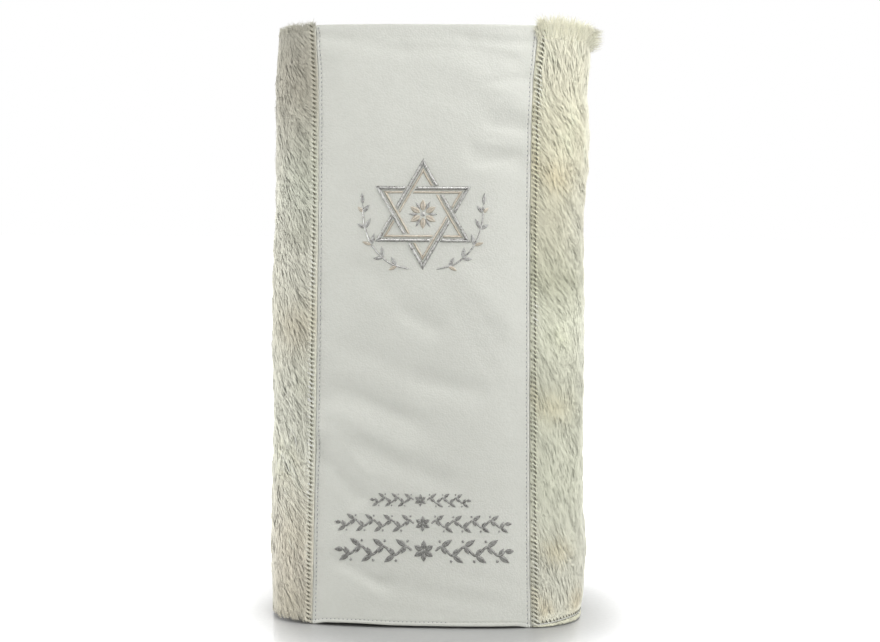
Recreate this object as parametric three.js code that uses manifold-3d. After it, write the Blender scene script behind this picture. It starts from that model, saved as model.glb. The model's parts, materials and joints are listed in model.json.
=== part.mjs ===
// A fitted cover for a scroll: leather front and back, sides of hide with the hair on, a stiff oval top.
// Millimetres, +Z up. The front faces -Y and the hem stands on the floor.

import * as THREE from "three";
import { mergeVertices } from "three/addons/utils/BufferGeometryUtils.js";
import Module from "manifold-3d";

const wasm = await Module();
wasm.setup();

// The cover's own sizes
const HEIGHT = 620;
const TOP_HALF_WIDTH = 157;
const HEM_HALF_WIDTH = 160.5;
const HALF_DEPTH = 88;
const ROUNDNESS = 3.2; // exponent of the plan, a superellipse: 2 is an ellipse, higher is squarer
const GAP = 0.3; // between pieces that are sewn together

// Leather and hide
const LEATHER = 2;
const HEM = { height: 14, extra: 1 }; // the turned-up edge, thicker on the inside
const HEM_LIFT = { all: 2.2, ends: 16, x: -74, reach: 34, more: 1.4 }; // the front's hem is off the floor
const PILE_AT_SEAM = 1.5;
const PILE = 8.5;
const PILE_RAMP = 26; // from a seam to where the pile has its full depth
const LUMP = { height: 1.3, across: 34, along: 58, quiet: 44 };

// The top board
const BOARD = { thickness: 8.5, below: 0.5 };
const STAVE_HOLE = { radius: 23, offset: 75, sides: 28 };

// How finely each wall is drawn
const LEVELS = 34;
const FRONT_COLUMNS = 20;
const BACK_COLUMNS = 6;
const SIDE_COLUMNS = 12;
const PLAN_STEPS = 4000;

// Where the seams run: half widths of the front panel at some heights. The back's seams are straight.
const FRONT_SEAMS = [
  { height: 0, left: 116.5, right: 108.5 },
  { height: 90, left: 115.5, right: 107 },
  { height: 230, left: 114, right: 106 },
  { height: 440, left: 113, right: 105 },
  { height: 530, left: 113.3, right: 106 },
  { height: 565, left: 114, right: 107.5 },
  { height: 595, left: 116, right: 110.5 },
  { height: HEIGHT, left: 117.5, right: 113.5 },
];
const BACK_SEAM = 111;

// How far the pile stands beyond its plain depth at each side
const SIDE_BULGES = [
  { height: 0, left: -2.8, right: -1.8 },
  { height: 24, left: -2.0, right: -1.6 },
  { height: 55, left: -0.6, right: -0.6 },
  { height: 81, left: -0.6, right: 1.0 },
  { height: 105, left: -0.8, right: -2.2 },
  { height: 180, left: -1.8, right: -2.8 },
  { height: 230, left: -1.4, right: -3.4 },
  { height: 290, left: 0, right: -3.6 },
  { height: 340, left: -0.6, right: -2.8 },
  { height: 402, left: -1.6, right: -3.2 },
  { height: 430, left: -2.2, right: -3.8 },
  { height: 455, left: -2.2, right: -2.4 },
  { height: 476, left: -2, right: -0.4 },
  { height: 518, left: -2.6, right: 0.8 },
  { height: 556, left: -2.4, right: -1.2 },
  { height: 585, left: -3, right: 2.4 },
  { height: 604, left: -4.4, right: 2 },
  { height: HEIGHT, left: -4.6, right: 2 },
];

// The front's main folds: from one end to the other, half width, and height (below 0 is a trough)
const FOLDS = [
  { x1: -112, z1: 611, x2: -27, z2: 594, wide: 9, high: -0.9 },
  { x1: -24, z1: 597, x2: 41, z2: 601, wide: 9, high: -0.9 },
  { x1: 41, z1: 601, x2: 88, z2: 587, wide: 9, high: -1 },
  { x1: 40, z1: 572, x2: 96, z2: 540, wide: 15, high: 1.4 },
  { x1: 66, z1: 522, x2: 98, z2: 520, wide: 9, high: -1.3 },
  { x1: 48, z1: 490, x2: 92, z2: 480, wide: 10, high: -1.3 },
  { x1: -101, z1: 577, x2: -90, z2: 515, wide: 10, high: -1.4 },
  { x1: -67, z1: 370, x2: -43, z2: 353, wide: 13, high: -1.2 },
  { x1: -18, z1: 329, x2: 9, z2: 312, wide: 13, high: -1.5 },
  { x1: 33, z1: 371, x2: 85, z2: 313, wide: 13, high: 1.2 },
  { x1: -80, z1: 291, x2: -38, z2: 272, wide: 13, high: -1.2 },
  { x1: -8, z1: 260, x2: 50, z2: 245, wide: 13, high: -1.5 },
  { x1: -88, z1: 243, x2: -11, z2: 211, wide: 14, high: -2.2 },
  { x1: -96, z1: 222, x2: -25, z2: 183, wide: 12, high: 1.4 },
  { x1: -56, z1: 187, x2: 17, z2: 151, wide: 14, high: -2.2 },
  { x1: -106, z1: 185, x2: -72, z2: 136, wide: 11, high: -2.2 },
  { x1: -90, z1: 72, x2: -41, z2: 46, wide: 10, high: -1.8 },
  { x1: -31, z1: 42, x2: 73, z2: 24, wide: 11, high: -1.5 },
];
const FOLDS_END = { inside: 28, outside: 12 }; // below the top, where the folds have died away

// Hair past the ends of the side panels. Along a panel, 0 is its front seam and 1 its back seam.
const ROOT_STRIP = { gap: 0.7, thickness: 1.6, height: 5, part: 1.5 };
const RIM_STRIP_BASE = 604;
const HEM_STRIP_BASE = 12;
const LOCK = { width: 7.5, thickness: 1.1, waist: 0.55, slant: 3 };
const RIM_LOCKS_RIGHT = [
  { along: 0, past: 5, lean: 1.5 },
  { along: 0.09, past: 9.5, lean: 3 },
  { along: 0.2, past: 6, lean: 6 },
  { along: 0.3, past: 3, lean: 10 },
  { along: 0.38, past: -10, lean: 15.5 },
  { along: 0.5, past: -7, lean: 13 },
  { along: 0.62, past: 5, lean: 8 },
  { along: 1, past: 4, lean: 2 },
];
const RIM_LOCKS_LEFT = [
  { along: 0, past: 3.5, lean: 1 },
  { along: 0.3, past: 4, lean: 2 },
  { along: 0.5, past: 3, lean: 3.5 },
  { along: 1, past: 3.5, lean: 1.5 },
];
const HEM_LOCKS = [
  { along: 0, past: -2.5, lean: 0.5 },
  { along: 0.25, past: -2, lean: 0.9 },
  { along: 0.5, past: -2, lean: 1.2 },
  { along: 1, past: -2.5, lean: 0.6 },
];
const RIM_LOCK_PITCH = 6.2;
const HEM_LOCK_PITCH = 7.8;

const LEATHER_LOOK = new THREE.MeshStandardMaterial({ color: 0xe2e3db, roughness: 0.55 });
const HIDE_LOOK = new THREE.MeshStandardMaterial({ color: 0xcac7b2, roughness: 0.9 });

// Plain helpers

const mix = (a, b, t) => a + (b - a) * t;

const clamp = (t) => Math.min(1, Math.max(0, t));
const smooth = (t) => clamp(t) ** 2 * (3 - 2 * clamp(t));
const swelling = (t) => 1 - (1 - clamp(t)) ** 2;

// Reads one column of a table at a place between its rows.
function readTable(rows, by, column, at) {
  const next = rows.findIndex((row) => row[by] >= at);
  if (next <= 0) return rows[next < 0 ? rows.length - 1 : 0][column];
  const [a, b] = [rows[next - 1], rows[next]];
  return mix(a[column], b[column], (at - a[by]) / (b[by] - a[by]));
}

// An uneven number from 0 to 1, the same one each time for the same k.
function uneven(k) {
  const n = Math.sin(k * 12.9898 + 4.1) * 43758.5453;
  return n - Math.floor(n);
}

// The plan: places along the skin are distances s from the middle of the front, positive to the right.

const MID_HALF_WIDTH = (TOP_HALF_WIDTH + HEM_HALF_WIDTH) / 2;
const halfWidthAt = (z) => mix(HEM_HALF_WIDTH, TOP_HALF_WIDTH, z / HEIGHT);

function planRows() {
  const rows = [];
  for (let i = 0; i <= PLAN_STEPS; i++) {
    const turn = (Math.PI * i) / PLAN_STEPS;
    const [across, back] = [Math.max(0, Math.sin(turn)), -Math.cos(turn)];
    const x = MID_HALF_WIDTH * across ** (2 / ROUNDNESS);
    const y = HALF_DEPTH * Math.sign(back) * Math.abs(back) ** (2 / ROUNDNESS);
    const last = rows[i - 1];
    rows.push({ x, y, s: last ? last.s + Math.hypot(x - last.x, y - last.y) : 0 });
  }
  return rows;
}

const PLAN = planRows();
const HALF_ROUND = PLAN[PLAN_STEPS].s;

function rowBefore(reached) {
  let [low, high] = [0, PLAN_STEPS];
  while (high - low > 1) {
    const middle = (low + high) >> 1;
    if (reached(PLAN[middle])) high = middle;
    else low = middle;
  }
  return low;
}

function planPoint(s) {
  const turned = s > HALF_ROUND ? s - 2 * HALF_ROUND : s;
  const far = Math.abs(turned);
  const i = rowBefore((row) => row.s >= far);
  const [a, b] = [PLAN[i], PLAN[i + 1]];
  const t = (far - a.s) / (b.s - a.s);
  return { x: Math.sign(turned) * mix(a.x, b.x, t), y: mix(a.y, b.y, t) };
}

// The distance along the skin from the middle of the front to half width x on the front.
const arcTo = (x) => PLAN[rowBefore((row) => row.x >= x || row.y >= 0)].s;

// A point on the skin at distance s and height z, moved outwards.
function skinPoint(s, z, outwards) {
  const { x, y } = planPoint(s);
  const a = halfWidthAt(z);
  const px = (x * a) / MID_HALF_WIDTH;
  const nx = (Math.sign(px) * Math.abs(px / a) ** (ROUNDNESS - 1)) / a;
  const ny = (Math.sign(y) * Math.abs(y / HALF_DEPTH) ** (ROUNDNESS - 1)) / HALF_DEPTH;
  const step = outwards / Math.hypot(nx, ny);
  return new THREE.Vector3(px + nx * step, y + ny * step, z);
}

// The four walls: where each begins and ends at a height, and how much its columns crowd to its seams

const seamAt = (z, column) => arcTo(readTable(FRONT_SEAMS, "height", column, z));
const BACK_EDGE = HALF_ROUND - arcTo(BACK_SEAM);

const WALLS = {
  front: {
    columns: FRONT_COLUMNS,
    crowd: 0,
    ends: (z) => [-seamAt(z, "left"), seamAt(z, "right")],
  },
  right: {
    columns: SIDE_COLUMNS,
    crowd: 0.6,
    ends: (z) => [seamAt(z, "right"), BACK_EDGE],
  },
  back: {
    columns: BACK_COLUMNS,
    crowd: 0.5,
    ends: () => [BACK_EDGE, 2 * HALF_ROUND - BACK_EDGE],
  },
  left: {
    columns: SIDE_COLUMNS,
    crowd: 0.6,
    ends: (z) => [-BACK_EDGE, -seamAt(z, "left")],
  },
};

function station(wall, i, z) {
  const [from, to] = wall.ends(z);
  const even = i / wall.columns;
  const crowded = (1 - Math.cos(Math.PI * even)) / 2;
  return mix(from + GAP / 2, to - GAP / 2, mix(even, crowded, wall.crowd));
}

// Builders

function geometryFrom(positions, index) {
  const geometry = new THREE.BufferGeometry();
  geometry.setAttribute("position", new THREE.Float32BufferAttribute(positions, 3));
  geometry.setIndex(index);
  return geometry;
}

// A closed sheet between two matching grids. corner(i, j, inner) gives a point of either face.
function sheetGeometry(columns, rows, corner) {
  const positions = [];
  const index = [];
  const id = (i, j, inner) => (inner * (rows + 1) + j) * (columns + 1) + i;
  const quad = (a, b, c, d) => index.push(a, b, c, a, c, d);
  for (const inner of [0, 1])
    for (let j = 0; j <= rows; j++)
      for (let i = 0; i <= columns; i++) positions.push(...corner(i, j, inner).toArray());
  for (let j = 0; j < rows; j++)
    for (let i = 0; i < columns; i++) {
      quad(id(i, j, 0), id(i + 1, j, 0), id(i + 1, j + 1, 0), id(i, j + 1, 0));
      quad(id(i, j, 1), id(i, j + 1, 1), id(i + 1, j + 1, 1), id(i + 1, j, 1));
    }
  for (let i = 0; i < columns; i++) {
    quad(id(i, 0, 1), id(i + 1, 0, 1), id(i + 1, 0, 0), id(i, 0, 0));
    quad(id(i, rows, 0), id(i + 1, rows, 0), id(i + 1, rows, 1), id(i, rows, 1));
  }
  for (let j = 0; j < rows; j++) {
    quad(id(0, j, 1), id(0, j, 0), id(0, j + 1, 0), id(0, j + 1, 1));
    quad(id(columns, j, 0), id(columns, j, 1), id(columns, j + 1, 1), id(columns, j + 1, 0));
  }
  return geometryFrom(positions, index);
}

function wallGeometry(wall, outer, inner) {
  return sheetGeometry(wall.columns, LEVELS, (i, j, inside) => {
    const z = (HEIGHT * j) / LEVELS;
    const s = station(wall, i, z);
    const point = skinPoint(s, z, inside ? inner(s, z) : outer(s, z));
    if (wall === WALLS.front && j === 0) point.z = hemLift(wall, s, point.x);
    return point;
  });
}

function piece(name, geometry, material) {
  const mesh = new THREE.Mesh(geometry, material);
  mesh.name = name;
  return mesh;
}

// Leather panels

// How far the front's lower edge is off the floor: a little between the seams, and more at one place.
function hemLift(wall, s, x) {
  const [from, to] = wall.ends(0);
  const all = HEM_LIFT.all * smooth(Math.min(s - from, to - s) / HEM_LIFT.ends);
  return all + HEM_LIFT.more * Math.exp(-(((x - HEM_LIFT.x) / HEM_LIFT.reach) ** 2));
}

const leatherInside = (z) => -LEATHER - HEM.extra * smooth((HEM.height - z) / HEM.height + 0.5);

// Height of the front's folds at a place on it.
function foldHeight(x, z) {
  return FOLDS.reduce((sum, f) => {
    const [dx, dz] = [f.x2 - f.x1, f.z2 - f.z1];
    const t = ((x - f.x1) * dx + (z - f.z1) * dz) / (dx * dx + dz * dz);
    const nearest = Math.min(1, Math.max(0, t));
    const away = Math.hypot(x - f.x1 - dx * nearest, z - f.z1 - dz * nearest);
    return sum + f.high * Math.exp(-((away / f.wide) ** 2));
  }, 0);
}

function frontPanel() {
  const fold = (s, z) => foldHeight(planPoint(s).x, z);
  const outer = (s, z) => fold(s, z) * smooth((HEIGHT - z) / FOLDS_END.outside);
  const inner = (s, z) => {
    const left = smooth((HEIGHT - z - FOLDS_END.outside) / FOLDS_END.inside);
    return fold(s, z) * left + leatherInside(z);
  };
  return piece("front_panel", wallGeometry(WALLS.front, outer, inner), LEATHER_LOOK);
}

function backPanel() {
  const geometry = wallGeometry(
    WALLS.back,
    () => 0,
    (s, z) => leatherInside(z),
  );
  return piece("back_panel", geometry, LEATHER_LOOK);
}

// Hide with the hair on

// Depth of the pile on a side panel. It is pinched at both seams and lumpy between them.
function pileDepth(side, s, z) {
  const [from, to] = WALLS[side].ends(z);
  const toSeam = Math.min(s - from, to - s);
  const full = swelling(toSeam / PILE_RAMP);
  const quiet = smooth(Math.min(z, HEIGHT - z) / LUMP.quiet - 0.6);
  const wave = Math.sin((s * 2 * Math.PI) / LUMP.across + z / 21) * Math.sin((z * 2 * Math.PI) / LUMP.along);
  const swell = Math.sin(s / 13 - z / 37) * 0.6;
  const bulge = readTable(SIDE_BULGES, "height", side, z);
  return mix(PILE_AT_SEAM, PILE + bulge, full) + LUMP.height * (wave + swell) * full * quiet;
}

function furSide(side) {
  const geometry = wallGeometry(
    WALLS[side],
    (s, z) => pileDepth(side, s, z),
    () => -LEATHER,
  );
  return piece("fur_side_" + side, geometry, HIDE_LOOK);
}

// A point just outside the pile, further out by clear.
function overPile(side, s, z, clear) {
  const pile = pileDepth(side, s, Math.min(z, HEIGHT));
  return skinPoint(s, z, pile + ROOT_STRIP.gap + clear);
}

// The narrow strip that holds the roots of a row of locks, just outside the pile.
function rootStrip(side, base, count) {
  const [from, to] = WALLS[side].ends(base).map((s, i) => s + (i ? -1 : 1) * ROOT_STRIP.part);
  return sheetGeometry(count, 1, (i, j, inner) => {
    const s = mix(from, to, i / count);
    return overPile(side, s, base + j * ROOT_STRIP.height, inner ? 0 : ROOT_STRIP.thickness);
  });
}

// One lock of hair: three sides, a waist and a tip. Each of these is s, z and how far out it lies.
function lockGeometry(side, root, waist, tip) {
  const ring = ({ s, z, out }, width) => [
    overPile(side, s - width / 2, z, out),
    overPile(side, s + width / 2, z, out),
    overPile(side, s, z, out + LOCK.thickness),
  ];
  const rings = [ring(root, LOCK.width), ring(waist, LOCK.width * LOCK.waist)];
  const end = overPile(side, tip.s, tip.z, tip.out);
  const positions = [...rings.flat(), end].flatMap((p) => p.toArray());
  const index = [0, 2, 1];
  for (const k of [0, 1, 2]) {
    const next = (k + 1) % 3;
    index.push(k, next, 3 + next, k, 3 + next, 3 + k, 3 + k, 3 + next, 6);
  }
  const upwards = tip.z > root.z;
  return geometryFrom(positions, upwards ? index.reverse() : index);
}

// A row of locks fused to their strip. The table says how far each tip goes past an edge and leans out.
function lockRow({ name, side, base, edge, pitch, table }) {
  const [from, to] = WALLS[side].ends(base);
  const count = Math.round((to - from) / pitch);
  let solid = toSolid(rootStrip(side, base, count));
  const up = edge > base;
  for (let k = 1; k < count; k++) {
    const s = mix(from, to, k / count);
    const along = side === "right" ? k / count : 1 - k / count;
    const past = readTable(table, "along", "past", along) * mix(0.7, 1.15, uneven(k));
    const lean = readTable(table, "along", "lean", along) * mix(0.7, 1.1, uneven(k + 50));
    const slant = LOCK.slant * mix(-0.5, 1, uneven(k + 90));
    const mid = base + ROOT_STRIP.height / 2;
    const inside = (ROOT_STRIP.thickness - LOCK.thickness) / 2;
    const end = up ? edge + past : edge - past;
    const root = { s, z: mid, out: inside };
    const waist = { s: s + slant / 2, z: mix(mid, end, 0.62), out: inside + lean * 0.45 };
    const tip = { s: s + slant, z: end, out: inside + lean };
    solid = solid.add(toSolid(lockGeometry(side, root, waist, tip)));
  }
  return piece(name, fromSolid(solid), HIDE_LOOK);
}

function toSolid(geometry) {
  const merged = mergeVertices(geometry, 1e-3);
  return new wasm.Manifold(
    new wasm.Mesh({
      numProp: 3,
      vertProperties: merged.attributes.position.array,
      triVerts: new Uint32Array(merged.index.array),
    }),
  );
}

function fromSolid(solid) {
  const { vertProperties, triVerts } = solid.getMesh();
  return geometryFrom(vertProperties, Array.from(triVerts));
}

// The stiff top: a board cut to the inside of the walls, with two holes for the scroll's staves.
function topCap() {
  const outline = Object.values(WALLS).flatMap((wall) =>
    Array.from({ length: wall.columns }, (_, i) => {
      const p = skinPoint(station(wall, i, HEIGHT), HEIGHT, -LEATHER - GAP);
      return new THREE.Vector2(p.x, p.y);
    }),
  );
  const shape = new THREE.Shape(outline);
  for (const x of [-STAVE_HOLE.offset, STAVE_HOLE.offset]) {
    const hole = new THREE.Path();
    hole.absarc(x, 0, STAVE_HOLE.radius, 0, 2 * Math.PI, true);
    shape.holes.push(hole);
  }
  const geometry = new THREE.ExtrudeGeometry(shape, {
    depth: BOARD.thickness,
    curveSegments: STAVE_HOLE.sides,
    bevelEnabled: false,
  });
  const cap = piece("top_cap", geometry, LEATHER_LOOK);
  cap.position.z = HEIGHT - BOARD.below - BOARD.thickness;
  return cap;
}

// The whole cover

const LOCK_ROWS = [
  { name: "rim_locks_left", side: "left", table: RIM_LOCKS_LEFT },
  { name: "rim_locks_right", side: "right", table: RIM_LOCKS_RIGHT },
].map((row) => ({ ...row, base: RIM_STRIP_BASE, edge: HEIGHT, pitch: RIM_LOCK_PITCH }));
for (const side of ["left", "right"])
  LOCK_ROWS.push({
    name: "hem_locks_" + side,
    side,
    table: HEM_LOCKS,
    base: HEM_STRIP_BASE,
    edge: 0,
    pitch: HEM_LOCK_PITCH,
  });

const mantle = new THREE.Group();
mantle.add(frontPanel(), backPanel(), furSide("left"), furSide("right"), topCap());
mantle.add(...LOCK_ROWS.map(lockRow));

// The part's origin is on the floor, under the middle of everything built.
const box = new THREE.Box3().setFromObject(mantle);
const middle = box.getCenter(new THREE.Vector3());
mantle.position.set(-middle.x, -middle.y, -box.min.z);

export default mantle;
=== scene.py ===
import json
import math

import bpy
import numpy as np
from mathutils import Matrix, Vector
from mathutils.kdtree import KDTree

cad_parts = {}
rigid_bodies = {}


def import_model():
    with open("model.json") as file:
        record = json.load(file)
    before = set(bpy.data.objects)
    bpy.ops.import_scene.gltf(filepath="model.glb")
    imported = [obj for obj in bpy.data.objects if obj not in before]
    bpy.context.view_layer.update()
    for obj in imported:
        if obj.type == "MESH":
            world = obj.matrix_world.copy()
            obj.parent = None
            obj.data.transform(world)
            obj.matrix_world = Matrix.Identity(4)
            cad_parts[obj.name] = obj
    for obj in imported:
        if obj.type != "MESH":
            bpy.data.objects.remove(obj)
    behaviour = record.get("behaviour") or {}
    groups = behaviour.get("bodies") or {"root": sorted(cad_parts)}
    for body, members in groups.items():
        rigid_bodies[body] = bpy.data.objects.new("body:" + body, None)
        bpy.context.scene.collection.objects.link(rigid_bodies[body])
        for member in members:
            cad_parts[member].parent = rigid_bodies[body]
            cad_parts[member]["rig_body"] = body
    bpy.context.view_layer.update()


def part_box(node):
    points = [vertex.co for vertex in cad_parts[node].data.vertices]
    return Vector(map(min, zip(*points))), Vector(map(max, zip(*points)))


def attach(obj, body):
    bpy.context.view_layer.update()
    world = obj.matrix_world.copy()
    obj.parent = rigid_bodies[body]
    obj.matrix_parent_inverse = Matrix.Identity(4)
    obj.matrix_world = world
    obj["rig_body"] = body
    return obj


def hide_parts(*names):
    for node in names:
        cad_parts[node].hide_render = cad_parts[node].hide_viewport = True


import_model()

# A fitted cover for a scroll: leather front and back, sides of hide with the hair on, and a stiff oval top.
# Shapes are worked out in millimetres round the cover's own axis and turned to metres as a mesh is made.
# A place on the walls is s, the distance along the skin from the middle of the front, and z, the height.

# The cover's own sizes, the same as in the solids
HEIGHT = 620
TOP_HALF_WIDTH = 157
HEM_HALF_WIDTH = 160.5
HALF_DEPTH = 88
ROUNDNESS = 3.2
GAP = 0.3
LEATHER = 2
HEM = {"height": 14, "extra": 1}
HEM_LIFT = {"all": 2.2, "ends": 16, "x": -74, "reach": 34, "more": 1.4}
PILE_AT_SEAM = 1.5
PILE = 8.5
PILE_RAMP = 26
LUMP = {"height": 1.3, "across": 34, "along": 58, "quiet": 44}
BOARD = {"thickness": 8.5, "below": 0.5}
STAVE_HOLE = {"radius": 23, "offset": 75}
PLAN_STEPS = 4000
BACK_SEAM = 111

# Height, then the half width of the front panel at its left and at its right
FRONT_SEAMS = [
    (0, 116.5, 108.5),
    (90, 115.5, 107),
    (230, 114, 106),
    (440, 113, 105),
    (530, 113.3, 106),
    (565, 114, 107.5),
    (595, 116, 110.5),
    (HEIGHT, 117.5, 113.5),
]
# Height, then how far the pile stands beyond its plain depth at the left side and at the right side
SIDE_BULGES = [
    (0, -2.8, -1.8),
    (24, -2.0, -1.6),
    (55, -0.6, -0.6),
    (81, -0.6, 1.0),
    (105, -0.8, -2.2),
    (180, -1.8, -2.8),
    (230, -1.4, -3.4),
    (290, 0, -3.6),
    (340, -0.6, -2.8),
    (402, -1.6, -3.2),
    (430, -2.2, -3.8),
    (455, -2.2, -2.4),
    (476, -2, -0.4),
    (518, -2.6, 0.8),
    (556, -2.4, -1.2),
    (585, -3, 2.4),
    (604, -4.4, 2),
    (HEIGHT, -4.6, 2),
]
# The front's folds: x and z of one end, x and z of the other, half width, height (below 0 is a trough)
FOLDS = [
    (-112, 611, -27, 594, 9, -0.9),
    (-24, 597, 41, 601, 9, -0.9),
    (41, 601, 88, 587, 9, -1),
    (40, 572, 96, 540, 15, 1.4),
    (66, 522, 98, 520, 9, -1.3),
    (48, 490, 92, 480, 10, -1.3),
    (-101, 577, -90, 515, 10, -1.4),
    (-67, 370, -43, 353, 13, -1.2),
    (-18, 329, 9, 312, 13, -1.5),
    (33, 371, 85, 313, 13, 1.2),
    (-80, 291, -38, 272, 13, -1.2),
    (-8, 260, 50, 245, 13, -1.5),
    (-88, 243, -11, 211, 14, -2.2),
    (-96, 222, -25, 183, 12, 1.4),
    (-56, 187, 17, 151, 14, -2.2),
    (-106, 185, -72, 136, 11, -2.2),
    (-90, 72, -41, 46, 10, -1.8),
    (-31, 42, 73, 24, 11, -0.9),
]
# Smaller creases that the solids leave out
CREASES = [
    (-115, 609, -80, 603, 4, -0.7),
    (-44, 600, 33, 601, 3.6, 0.5),
    (31, 601, 93, 591, 3.6, 0.8),
    (62, 603, 108, 602, 3, -0.7),
    (60, 561, 104, 566, 4.5, -0.8),
    (66, 517, 98, 514, 4, -0.7),
    (50, 479, 92, 488, 5, -0.8),
    (66, 500, 96, 499, 5, 0.5),
    (-20, 322, 6, 311, 7, -0.7),
    (-10, 254, 42, 249, 7, -0.5),
    (-77, 244, -20, 218, 6, -0.7),
    (-106, 206, -58, 160, 4.5, 0.9),
    (-108, 172, -66, 136, 7, -1.0),
    (-87, 64, -46, 44, 5, -0.9),
    (-70, 66, -44, 54, 4, 0.5),
    (20, 345, 88, 226, 5, -0.25),
    (35, 345, 98, 240, 5, 0.2),
    (51, 607, 102, 603.5, 3.5, -0.35),
    (68, 564, 98, 565, 4, -0.3),
    (-68, 551, -54, 493, 7, -0.3),
    (-101, 186, -55, 143, 6, 0.5),
    (-83, 58, -55, 41, 6, 0.4),
    (70, 548, 100, 538, 4, -0.25),
    (60, 506, 98, 498, 4, -0.25),
    (-60, 20, 20, 14, 5, -0.25),
    (30, 60, 90, 44, 7, -0.3),
    (-20, 560, 30, 548, 9, -0.25),
]
FOLD_SHARE = 1.05
FOLDS_END = {"inside": 28, "outside": 12}

axis_low, axis_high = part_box("top_cap")
ORIGIN = np.array([(axis_low.x + axis_high.x) * 500, (axis_low.y + axis_high.y) * 500, 0])


# Plain helpers


def mix(a, b, t):
    return a + (b - a) * t


def clamp(t):
    return np.clip(t, 0, 1)


def smooth(t):
    return clamp(t) ** 2 * (3 - 2 * clamp(t))


def swelling(t):
    return 1 - (1 - clamp(t)) ** 2


def unit(vectors):
    return vectors / np.maximum(np.linalg.norm(vectors, axis=-1), 1e-6)[..., None]


def upright(points):
    """The upward direction, once for each point."""
    return np.broadcast_to((0.0, 0.0, 1.0), points.shape)


def read_table(rows, column, at):
    """Reads one column of a table at places between its rows."""
    table = np.array(rows, float)
    return np.interp(at, table[:, 0], table[:, column])


def even_spread(count, seed):
    """count places in the unit square that fill it evenly, the same ones each time."""
    k = np.arange(count) + seed * 0.37
    places = np.stack([k * 0.7548776662, k * 0.5698402910], -1)
    jitter = np.random.default_rng(seed).uniform(-0.3, 0.3, (count, 2)) / math.sqrt(count)
    return (places + jitter) % 1


def soft_noise(u, v, length, seed):
    """A smooth uneven height from about -1 to 1, with waves about length long."""
    rng = np.random.default_rng(seed)
    total = 0
    for turn, stretch, start in rng.uniform((0, 0.7, 0), (np.pi, 1.5, 2 * np.pi), (7, 3)):
        along = u * math.cos(turn) + v * math.sin(turn)
        total = total + np.sin(along * 2 * np.pi / (length * stretch) + start)
    return total / 3.2


def linear(colour):
    """A colour of 0 to 255 a channel as the linear values that shaders use."""
    c = np.asarray(colour, float) / 255
    return np.where(c <= 0.04045, c / 12.92, ((c + 0.055) / 1.055) ** 2.4)


def rgba(colour):
    return (*linear(colour), 1)


# The plan and the skin

MID_HALF_WIDTH = (TOP_HALF_WIDTH + HEM_HALF_WIDTH) / 2


def plan_rows():
    turn = np.pi * np.arange(PLAN_STEPS + 1) / PLAN_STEPS
    back = -np.cos(turn)
    x = MID_HALF_WIDTH * np.maximum(0, np.sin(turn)) ** (2 / ROUNDNESS)
    y = HALF_DEPTH * np.sign(back) * np.abs(back) ** (2 / ROUNDNESS)
    s = np.concatenate([[0], np.cumsum(np.hypot(np.diff(x), np.diff(y)))])
    return s, x, y


PLAN_S, PLAN_X, PLAN_Y = plan_rows()
HALF_ROUND = PLAN_S[-1]
HALF_STEPS = PLAN_STEPS // 2


def arc_to(x):
    """The distance along the skin from the middle of the front to half width x on the front."""
    return np.interp(x, PLAN_X[:HALF_STEPS], PLAN_S[:HALF_STEPS])


BACK_EDGE = HALF_ROUND - arc_to(BACK_SEAM)


def plan_point(s):
    turned = (s + HALF_ROUND) % (2 * HALF_ROUND) - HALF_ROUND
    far = np.abs(turned)
    return np.sign(turned) * np.interp(far, PLAN_S, PLAN_X), np.interp(far, PLAN_S, PLAN_Y)


def skin(s, z):
    """Points on the skin and the unit normals there, both as arrays of x, y, z."""
    s, z = np.broadcast_arrays(np.asarray(s, float), np.asarray(z, float))
    x, y = plan_point(s)
    a = HEM_HALF_WIDTH + (TOP_HALF_WIDTH - HEM_HALF_WIDTH) * z / HEIGHT
    px = x * a / MID_HALF_WIDTH
    nx = np.sign(px) * np.abs(px / a) ** (ROUNDNESS - 1) / a
    ny = np.sign(y) * np.abs(y / HALF_DEPTH) ** (ROUNDNESS - 1) / HALF_DEPTH
    size = np.hypot(nx, ny)
    return np.stack([px, y, z], -1), np.stack([nx / size, ny / size, 0 * z], -1)


def skin_point(s, z, out):
    points, normals = skin(s, z)
    return points + normals * np.broadcast_to(out, points.shape[:-1])[..., None]


def wall_ends(wall, z):
    """Where a wall begins and ends along the skin at height z."""
    left = -arc_to(read_table(FRONT_SEAMS, 1, z))
    right = arc_to(read_table(FRONT_SEAMS, 2, z))
    edge = BACK_EDGE + 0 * left
    return {
        "front": (left, right),
        "right": (right, edge),
        "back": (edge, 2 * HALF_ROUND - edge),
        "left": (-edge, left),
    }[wall]


def to_seam(wall, s, z):
    start, end = wall_ends(wall, z)
    return np.minimum(s - start, end - s)


def segment_heights(rows, x, z):
    """The height at x, z of soft ridges and troughs that run along segments."""
    total = np.zeros(np.broadcast(x, z).shape)
    for x1, z1, x2, z2, wide, high in rows:
        dx, dz = x2 - x1, z2 - z1
        t = clamp(((x - x1) * dx + (z - z1) * dz) / (dx * dx + dz * dz))
        away = np.hypot(x - x1 - dx * t, z - z1 - dz * t)
        total = total + high * np.exp(-((away / wide) ** 2))
    return total


# Meshes


class Batch:
    """Points and faces of one or many parts that become one mesh, with a value for each point."""

    def __init__(self):
        self.points = []
        self.faces = []
        self.values = []
        self.count = 0

    def add(self, points, faces, values=None):
        points = np.asarray(points, float).reshape(-1, 3)
        self.faces += [np.asarray(f) + self.count for f in faces]
        self.points.append(points)
        values = np.zeros(2 * len(points)) if values is None else values
        self.values.append(np.reshape(values, (len(points), -1)))
        self.count += len(points)


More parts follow.
